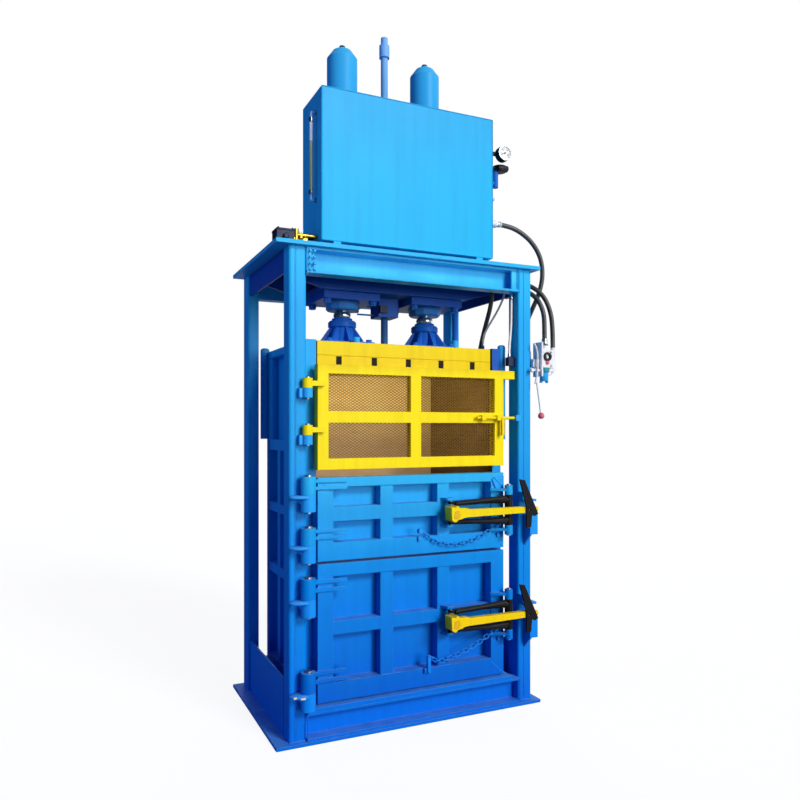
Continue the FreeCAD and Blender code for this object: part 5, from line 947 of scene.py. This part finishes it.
# %% [markdown]
# ## Cut plates
# Latch heads and gussets are cut from plate with a torch. A plate is an outline in the
# door's plane, pushed along by its thickness, and its corners and far edges are ground off.

# %% Cut plates
def cut_plate(bm, outline, y, thick, z=0.0, broken=1.0 * MM):
    """A plate cut to an outline of x and z pairs, from a depth y, as thick as given."""
    face = bm.faces.new([bm.verts.new((x, y, z + high)) for x, high in outline])
    grown = bmesh.ops.extrude_face_region(bm, geom=[face])["geom"]
    tops = [item for item in grown if isinstance(item, bmesh.types.BMVert)]
    bmesh.ops.translate(bm, vec=(0, thick, 0), verts=tops)
    edges = list({edge for vert in tops for edge in vert.link_edges})
    bmesh.ops.bevel(bm, geom=edges, offset=broken, segments=1, profile=0.5, affect="EDGES",
                    material=-1)


print("helper", cut_plate.__name__)

# %% [markdown]
# ## Latches
# A yellow bar closes over each knee of the door latch. Its head is a thick plate with
# ears, its shaft is forged and narrows, and its end is a round nose.

# %% Latch forgings
SHAFT = [(0.214, -0.026), (0.250, -0.021), (0.632, -0.015), (0.640, -0.008), (0.640, 0.012),
         (0.632, 0.018), (0.262, 0.020), (0.250, 0.027), (0.214, 0.028)]
HEAD = [(0.150, -0.032), (0.170, -0.044), (0.188, -0.030), (0.216, -0.026), (0.216, 0.027),
        (0.194, 0.032), (0.184, 0.044), (0.170, 0.034), (0.146, 0.036)]
NOSE = [(0.0, 0.0), (0.009, 0.001), (0.014, 0.007), (0.015, 0.016), (0.013, 0.026),
        (0.008, 0.031)]
LATCHES = {"upper": 1.080, "lower": 0.515}  # the heights of the two bars
for name, z in LATCHES.items():
    bm = bmesh.new()
    cut_plate(bm, SHAFT, -0.540, 32 * MM, z, 4 * MM)
    cut_plate(bm, HEAD, -0.552, 74 * MM, z, 3 * MM)
    bar(bm, (0.560, -0.524, z), (0.688, -0.524, z), 12 * MM, sides=20)
    turned(bm, NOSE, (0.699, -0.524, z), (-1, 0, 0), 20)
    keep(name + "_latch_forging", bm, YELLOW, "yellow_paint", name + "_latch_bar", smooth=35,
         hides=[name + "_latch_bar"])

# %% [markdown]
# The black links above and below the bar are turned arms. The bar's paint has worn to
# brown where its head rubs, so a thin patch with a brown edge lies on it.

# %% Latch wear and arms
HEAD_WEAR = enamel("worn_latch_enamel", [(0.45, "#e4b41a"), (1.2, "#e8ba20")],
                   edge_tone="#5a3412", edges=0.9, drift=0.2, patch=33 * MM)
RUB = [(0.160, -0.022), (0.186, -0.026), (0.200, -0.004), (0.190, 0.018), (0.166, 0.014)]
for name, z in LATCHES.items():
    bm = bmesh.new()
    cut_plate(bm, RUB, -0.5535, 3 * MM, z, 0.5 * MM)
    keep(name + "_latch_rub", bm, HEAD_WEAR, "yellow_paint", name + "_latch_bar")
    bm = bmesh.new()
    for way in (1, -1):
        bar(bm, (0.216, -0.484, z + way * 0.046), (0.516, -0.484, z + way * 0.062), 12 * MM,
            17 * MM, sides=24)
        bar(bm, (0.205, -0.484, z + way * 0.046), (0.226, -0.484, z + way * 0.047), 16 * MM,
            sides=24)
    keep(name + "_link_arms", bm, BLACK, "black_paint", name + "_latch_link", smooth=40)

# %% [markdown]
# ## Door hinges
# The lower knuckle of each hinge stands on a thick wing with rounded ends that is welded
# across the column, with a small web above it. The wing is a turned disc, stretched to
# an oval.

# %% Hinge wings
bm = bmesh.new()
for z in (1.205, 0.964, 0.705, 0.262):
    wing = bmesh.new()
    turned(wing, [(0.0, -0.008), (0.024, -0.008), (0.030, -0.003), (0.030, 0.003),
                  (0.024, 0.008), (0.0, 0.008)], (0, 0, 0))
    oval = Matrix.Translation((-0.628, -0.488, z - 0.012)) @ Matrix.Diagonal((2.05, 1.35, 1.1, 1))
    bmesh.ops.transform(wing, matrix=oval, verts=wing.verts)
    pour(bm, wing)
    cut_plate(bm, [(-0.593, 0.088), (-0.545, 0.040), (-0.593, 0.040)], -0.448, 10 * MM, z)
keep("hinge_wings", bm, LIGHT_BLUE, "frame_paint", smooth=40)

# %% [markdown]
# Paint has chipped off the lowest wing and shows the primer, a dull cream.

# %% Paint chips
PRIMER = moulded("bare_primer", "#d8c878", "#f4ecc8", 0.6)
bm = bmesh.new()
for x, y, z, wide in ((-0.670, -0.5168, 0.2535, 0.008), (-0.634, -0.5275, 0.2485, 0.012)):
    block(bm, (x - wide, y - 0.0035, z - 0.004), (x + wide, y + 0.0035, z + 0.0045), 1.2 * MM)
keep("paint_chips", bm, PRIMER, "frame_paint")

# %% [markdown]
# ## Mitres, gussets and weld beads
# The door frames are channel, mitred at the corners and welded. A weld bead is a low
# ridge of frozen metal about 5 mm across, so a thin bar half sunk in the seam shows it.

# %% Door welds
def bead(bm, start, end, size=2.6 * MM):
    """A weld bead between two points; the size is its radius."""
    bar(bm, start, end, size, sides=8)


FACE, CORNER, MITRE = -0.4360, 0.531, 0.074  # the doors' front, their edge and the rail width
for name, low, high, rails in (("upper", 0.870, 1.279, (1.063, 1.134)),
                               ("lower", 0.179, 0.856, (0.504, 0.570))):
    bm = bmesh.new()
    for side, z, way in ((1, low, 1), (1, high, -1), (-1, high, -1)):
        bead(bm, (side * CORNER, FACE, z + way * 0.003),
             (side * (CORNER - MITRE), FACE, z + way * MITRE))
    for x in (-0.190, -0.128, 0.128, 0.190):
        for z in rails:
            bead(bm, (x, -0.4305, z - 0.012), (x, -0.4305, z + 0.012), 2.0 * MM)
    # the beads take the lighter blue as a painted highlight along the seams
    keep(name + "_door_welds", bm, LIGHT_BLUE, "door_paint", name + "_door", smooth=60)

# %% [markdown]
# A gusset stiffens the upper door's corner near its latch. Two crossed beads hold it.

# %% Door gusset
bm = bmesh.new()
cut_plate(bm, [(0.456, 1.243), (0.470, 1.256), (0.531, 1.262), (0.531, 1.196), (0.486, 1.180)],
          -0.4375, -8 * MM, broken=2 * MM)
bead(bm, (0.470, -0.446, 1.252), (0.528, -0.446, 1.200), 3 * MM)
bead(bm, (0.490, -0.446, 1.190), (0.528, -0.446, 1.258), 3 * MM)
keep("upper_door_gusset", bm, LIGHT_BLUE, "door_paint", "upper_door")

# %% [markdown]
# The frame's own joints get beads too: where the top beam and the sill beam meet the
# columns, and up the columns where a web is welded to its flange. The top beam's end
# plate is bolted through, with small hex heads in two rows.

# %% Frame welds and bolts
bm = bmesh.new()
for x in (-0.593, 0.622):
    bead(bm, (x, -0.4595, 2.262), (x, -0.4595, 2.398))
    bead(bm, (x, -0.4672, 0.020), (x, -0.4672, 0.148))
for left, right in ((-0.678, -0.595), (0.624, 0.707)):
    bead(bm, (left, -0.449, 0.018), (right, -0.449, 0.018), 4 * MM)
for x in (-0.650, 0.660):
    bead(bm, (x, -0.4465, 0.03), (x, -0.4465, 2.38), 2.2 * MM)
hex_heads(bm, [(x, -0.459, z) for x in (-0.578, -0.556) for z in (2.288, 2.318, 2.348, 2.378)],
          OUT, 13 * MM, 5 * MM)
keep("frame_welds", bm, FRAME_BLUE, "frame_paint", smooth=40)

# %% [markdown]
# ## Hopper posts
# The feed opening's side panels end in round posts, which stiffen their free edges.

# %% Hopper posts
bm = bmesh.new()
for x, y, r, top in ((-0.578, 0.404, 26 * MM, 1.992), (0.578, 0.404, 26 * MM, 1.992),
                     (0.583, -0.338, 22 * MM, 1.990)):
    turned(bm, [(0, 1.4585), (r, 1.4585), (r, top - 0.012), (r * 0.7, top - 0.003), (0, top)],
           (x, y, 0))
# the lighter blue is painted light, so the posts stand out of their shade
keep("hopper_posts", bm, LIGHT_BLUE, "frame_paint", smooth=40)

# %% [markdown]
# ## Pressure gauge
# The gauge is a pressed steel case with a polished bezel and a printed card behind glass.
# The bezel is turned, and the card is a disc set back inside it.

# %% Gauge case
DIAL = Vector((0.556, -0.412, 3.040))


def off_dial(depth):
    """The point that lies some depth in front of the dial's middle."""
    return DIAL + Vector(OUT) * depth


bm = bmesh.new()
turned(bm, [(0.034, 0.0), (0.041, 0.0), (0.0418, 0.004), (0.0405, 0.0095), (0.036, 0.0098),
            (0.0345, 0.006), (0.034, 0.0)], DIAL, OUT, 40)
keep("gauge_bezel", bm, ZINC, "gauge_case", smooth=50)
bm = bmesh.new()
bar(bm, off_dial(0.5 * MM), off_dial(4.2 * MM), 35 * MM, sides=40)
keep("gauge_card", bm, DIAL_WHITE, "gauge_case")

# %% [markdown]
# The scale has 25 marks over 270 degrees, every fourth one long, and a black pointer.
# Print could be a picture on the card, but thin bars stay sharp at any distance.

# %% Gauge scale
def dial_mark(bm, depth, degrees, middle, size):
    """A thin bar on the dial, turned about its middle."""
    place = Matrix.Translation(off_dial(depth)) @ Matrix.Rotation(math.radians(degrees), 4, "Y")
    bmesh.ops.create_cube(bm, size=1, matrix=place @ Matrix.Translation((0, 0, middle))
                          @ Matrix.Diagonal((*size, 1)))


bm = bmesh.new()
for i in range(25):
    wide, tall = (1.6 * MM, 7.5 * MM) if i % 4 == 0 else (0.9 * MM, 4 * MM)
    dial_mark(bm, 4.6 * MM, -135 + i * 11.25, 31 * MM - tall / 2, (wide, 0.8 * MM, tall))
dial_mark(bm, 5.6 * MM, -115, 9 * MM, (2.2 * MM, 0.8 * MM, 34 * MM))
bar(bm, off_dial(4.4 * MM), off_dial(7.2 * MM), 4 * MM)
keep("gauge_scale", bm, DARK_PLASTIC, "gauge_case")

# %% [markdown]
# The numbers are letters from Blender's own font, made solid and stood on the card.

# %% Gauge numbers
bm = bmesh.new()
for i, number in enumerate(("0", "10", "20", "30")):
    letters = bpy.data.curves.new("number", "FONT")
    letters.body, letters.size, letters.extrude = number, 10.5 * MM, 0.3 * MM
    letters.align_x = letters.align_y = "CENTER"
    holder = bpy.data.objects.new("number", letters)
    mesh = bpy.data.meshes.new_from_object(holder)
    around = math.radians(-112 + i * 75)
    spot = off_dial(4.6 * MM) + Vector((math.sin(around), 0, math.cos(around))) * 20.5 * MM
    mesh.transform(Matrix.Translation(spot) @ Matrix.Rotation(math.radians(90), 4, "X"))
    bm.from_mesh(mesh)
    bpy.data.meshes.remove(mesh)
    bpy.data.objects.remove(holder)
    bpy.data.curves.remove(letters)
keep("gauge_numbers", bm, DARK_PLASTIC, "gauge_case")

# %% [markdown]
# ## Oil sight tube
# A clear tube on the tank's left side shows the oil level. Real clear plastic would need
# a second piece for the oil inside, so the tube is one solid whose colour changes from
# dull green to pale air at the level, under a glossy coat.

# %% Sight glass
OIL_TUBE, tree, place = blank("acrylic_tube_with_oil")
height = add(tree, "SeparateXYZ", {"Vector": place}).outputs["Z"]
share = add(tree, "MapRange", {"Value": height, "From Min": 2.65, "From Max": 3.09})
fluid = add(tree, "ValToRGB", {"Fac": share}, stops=[
    (0.0, "#7f8f6c"), (0.55, "#9cab88"), (0.66, "#a7b49a"), (0.67, "#dfe9ee"), (1.0, "#eef6fa")])
haze = add(tree, "TexNoise", {"Vector": place, "Scale": 1 / (33 * MM)})
cloud = add(tree, "MapRange", {"Value": haze, "To Min": 0.10, "To Max": 0.22})
glass = add(tree, "BsdfPrincipled", {"Base Color": fluid, "Roughness": cloud, "IOR": 1.49,
                                     "Coat Weight": 0.6, "Coat Roughness": 0.05})
add(tree, "OutputMaterial", {"Surface": glass})
TUBE_X, TUBE_Y = -0.545, -0.369
bm = bmesh.new()
bar(bm, (TUBE_X, TUBE_Y, 2.684), (TUBE_X, TUBE_Y, 3.052), 8.5 * MM, sides=20)
keep("sight_glass", bm, OIL_TUBE, "clear_tube", smooth=60, hides=["sight_tube"])

# %% [markdown]
# The tube stands between two bent steel elbows and is held by ring nuts.

# %% Sight tube fittings
def wire(bm, points, radius):
    """Adds a bent pipe to a bmesh."""
    mesh = wire_mesh(points, radius)
    bm.from_mesh(mesh)
    bpy.data.meshes.remove(mesh)


elbows, nuts = bmesh.new(), bmesh.new()
for z, bend, end, nut, way in ((2.651, 2.664, 2.688, 2.678, 1), (3.086, 3.072, 3.050, 3.058, -1)):
    wire(elbows, [(-0.519, TUBE_Y, z), (-0.531, TUBE_Y, z), (TUBE_X, TUBE_Y, z),
                  (TUBE_X, TUBE_Y, bend), (TUBE_X, TUBE_Y, end)], 6.5 * MM)
    turned(nuts, [(0.0085, 0), (0.0120, 0), (0.0120, 0.018), (0.0100, 0.022), (0.0085, 0.022)],
           (TUBE_X, TUBE_Y, nut), (0, 0, way), 12)
    bar(nuts, (-0.519, TUBE_Y, z), (-0.525, TUBE_Y, z), 11.5 * MM, sides=6)
# the palest blue is painted light on the tank's shaded left side
keep("sight_elbows", elbows, PIPE_BLUE, "tank_paint", smooth=60)
keep("sight_ring_nuts", nuts, ZINC, "fitting_steel", smooth=30)

# %% [markdown]
# ## Hand valve
# The hand valve on the right column is a cast block in light grey lacquer. A dark gland
# ring, a red dot, a teal seal and a blue cap close its bores. All are turned.

# %% Hand valve
VALVE_X, VALVE_Y, SPOOL_Y = 0.796, -0.477, -0.446
TURNED = [
    ("valve_gland", DARK_PLASTIC, "dark_plastic", (VALVE_X, VALVE_Y, 1.921), OUT, 28,
     [(0.011, 0.0), (0.024, 0.0), (0.026, 0.003), (0.024, 0.009), (0.013, 0.010), (0.011, 0.0)]),
    ("valve_dot", RED, "valve_metal", (VALVE_X, VALVE_Y, 1.888), OUT, 20,
     [(0, 0), (0.011, 0.0), (0.011, 0.006), (0.006, 0.009), (0, 0.009)]),
    ("valve_seal", TEAL, "valve_metal", (VALVE_X, SPOOL_Y, 0), UP, 28,
     [(0, 1.833), (0.027, 1.833), (0.030, 1.838), (0.030, 1.852), (0.027, 1.860), (0, 1.860)]),
]
for name, finish, slot, foot, towards, sides, profile in TURNED:
    bm = bmesh.new()
    turned(bm, profile, foot, towards, sides)
    keep(name, bm, finish, slot, smooth=40)
bm = bmesh.new()
turned(bm, [(0, 1.786), (0.021, 1.786), (0.024, 1.790), (0.024, 1.834), (0, 1.834)],
       (VALVE_X, SPOOL_Y, 0))
hex_heads(bm, [(0.776, SPOOL_Y, 1.786), (0.815, SPOOL_Y, 1.786)], DOWN, 16 * MM, 8 * MM)
keep("valve_spool_cap", bm, LIGHT_BLUE, "valve_metal", smooth=40)

# %% [markdown]
# Two bent pipes and a bracket run beside the block. The long lever ends in a red ball.

# %% Valve pipes and lever ball
bm = bmesh.new()
wire(bm, [(0.856, -0.446, 1.980), (0.856, -0.446, 1.905), (0.857, -0.446, 1.848),
          (0.846, -0.446, 1.828), (0.818, -0.446, 1.826)], 8 * MM)
wire(bm, [(0.704, -0.481, 1.990), (0.722, -0.482, 1.965), (0.727, -0.483, 1.900),
          (0.724, -0.482, 1.800), (0.712, -0.481, 1.768)], 6 * MM)
bar(bm, (0.690, -0.470, 1.843), (0.762, -0.470, 1.843), 7 * MM)
hex_heads(bm, [(0.697, -0.470, 1.843)], OUT, 20 * MM, 9 * MM)
hex_heads(bm, [(VALVE_X + i * 0.028, VALVE_Y, z) for i in (-1, 1) for z in (1.872, 1.948)], OUT,
          12 * MM, 5 * MM)
keep("valve_pipes", bm, WHITE_LACQUER, "valve_metal", smooth=45)
bm = bmesh.new()
turned(bm, [(0, 0), (0.007, 0.0008), (0.013, 0.004), (0.0175, 0.011), (0.018, 0.018),
            (0.0165, 0.025), (0.011, 0.0325), (0.005, 0.036), (0, 0.0365)],
       (0.777, SPOOL_Y, 1.5735), sides=28)
keep("lever_ball", bm, RED, "lever_metal", "valve_lever", smooth=60)

# %% [markdown]
# ## Junction box
# At the top left corner stands a navy junction box. Its lid is a moulded slab with four
# screws, and a round cable gland closes the hole at its front.

# %% Junction box
bm = bmesh.new()
block(bm, (-0.7325, -0.4195, 2.474), (-0.6415, -0.3245, 2.485), 3 * MM)
hex_heads(bm, [(x, y, 2.485) for x in (-0.722, -0.652) for y in (-0.409, -0.335)], UP, 8 * MM,
          3 * MM)
turned(bm, [(0, 0), (0.014, 0), (0.014, 0.012), (0.010, 0.016), (0, 0.016)],
       (-0.687, -0.417, 2.446), OUT, 16)
block(bm, (-0.668, -0.416, 2.420), (-0.556, -0.352, 2.4245), 1 * MM)
keep("junction_lid", bm, NAVY_PLASTIC, "dark_plastic", smooth=30)

# %% [markdown]
# ## Drain tap
# Beside the box stands a brass tap on a hex, with a white handle cut from sheet. Behind
# it is the dark valve block that the tap drains, bolted down at its corners.

# %% Drain tap and valve block
bm = bmesh.new()
turned(bm, [(0, 0), (0.018, 0), (0.020, 0.006), (0.014, 0.014), (0.020, 0.022), (0.020, 0.034),
            (0.010, 0.040), (0, 0.040)], (-0.606, -0.387, 2.426), sides=20)
bar(bm, (-0.640, -0.387, 2.444), (-0.572, -0.387, 2.444), 12 * MM, sides=6)
keep("tap_body", bm, BRASS, "drain_brass", smooth=35)
bm = bmesh.new()
bar(bm, (-0.606, -0.387, 2.466), (-0.606, -0.387, 2.482), 5 * MM)
cut_plate(bm, [(-0.630, 2.480), (-0.598, 2.480), (-0.590, 2.492), (-0.604, 2.489),
               (-0.620, 2.498), (-0.634, 2.496)], -0.390, 6 * MM)
keep("tap_handle", bm, WHITE_LACQUER, "drain_brass")
bm = bmesh.new()
block(bm, (-0.640, -0.345, 2.420), (-0.524, -0.265, 2.486), 3 * MM)
hex_heads(bm, [(x, y, 2.486) for x in (-0.626, -0.538) for y in (-0.331, -0.279)], UP, 10 * MM,
          5 * MM)
keep("drain_block", bm, NAVY_PLASTIC, "dark_plastic", smooth=30)

# %% [markdown]
# ## Bleed plugs
# Air is let out of a cylinder at its top, so a black hex plug stands on each dome.

# %% Bleed plugs
bm = bmesh.new()
hex_heads(bm, [(x, CYL_Y, 3.619) for x in (-CYL_X, CYL_X)], UP, 30 * MM, 14 * MM)
keep("bleed_plugs", bm, BLACK, "fitting_steel", smooth=30)

# %% [markdown]
# ## Filler stack on the tank
# Right of the tank stand a black cap, a blue body, a white nipple and a white outlet,
# all of one pipe. Its finish is enamel whose card changes sharply with the height.

# %% Filler stack
STACK = enamel("stack_enamel", [(2.60, "#e4eaec"), (2.835, "#e9edee"), (2.845, "#1a62c0"),
                                (2.94, "#1c6ac8"), (2.948, "#16181c")], drift=0.002)
NODES["tank_valve"].data.materials[0] = STACK
bm = bmesh.new()
turned(bm, [(0, 0), (0.016, 0), (0.018, 0.004), (0.018, 0.060), (0.015, 0.064), (0, 0.064)],
       (0.530, -0.382, 2.966), (1, 0, 0))
keep("stack_cap", bm, DARK_PLASTIC, "dark_plastic", smooth=40)
bm = bmesh.new()
for z, r in ((2.800, 20 * MM), (2.652, 22 * MM)):
    bar(bm, (0.462, -0.382, z), (0.474, -0.382, z), r, sides=6)
turned(bm, [(0, 0), (0.019, 0), (0.021, 0.004), (0.021, 0.030), (0.017, 0.034), (0, 0.034)],
       (0.484, -0.382, 2.652), (1, 0, 0), 20)
keep("stack_nuts", bm, WHITE_LACQUER, "fitting_steel", smooth=30)

# %% [markdown]
# ## Tank seams
# The tank is folded sheet with welded corners and a welded lid, and a low bead follows
# each seam.

# %% Tank seams
LEFT, RIGHT, FOOT, LID = -0.519, 0.450, 2.440, 3.186  # the tank's sides, foot and lid
bm = bmesh.new()
for y in (-0.458, -0.160):
    for x in (LEFT, RIGHT):
        bead(bm, (x, y, FOOT), (x, y, LID), 2.4 * MM)
    for z in (LID, FOOT):
        bead(bm, (LEFT, y, z), (RIGHT, y, z))
keep("tank_seams", bm, TANK_BLUE, "tank_paint", smooth=60)

# %% [markdown]
# ## Strap slots
# The platen's slots take the baling wire. They run right through, and a dark plate a little way
# into each one is painted shade, so that the slot looks black.

# %% Strap slots
# painted shade: nearly black, with no shine, standing for the dark inside each slot
SLOT_DARK = moulded("painted_slot_shade", "#040405", "#0c0c0d", 0.7)
PITCH, SHADE_PLATE = 195 * MM, (30.4 * MM, 40 * MM, 42.5 * MM, 1)
bm = bmesh.new()
for i in range(-2, 3):
    middle = Matrix.Translation((i * PITCH, -0.322, 1.865))
    bmesh.ops.create_cube(bm, size=1, matrix=middle @ Matrix.Diagonal(SHADE_PLATE))
keep("strap_slot_shade_plates", bm, SLOT_DARK, "black_paint", "platen")
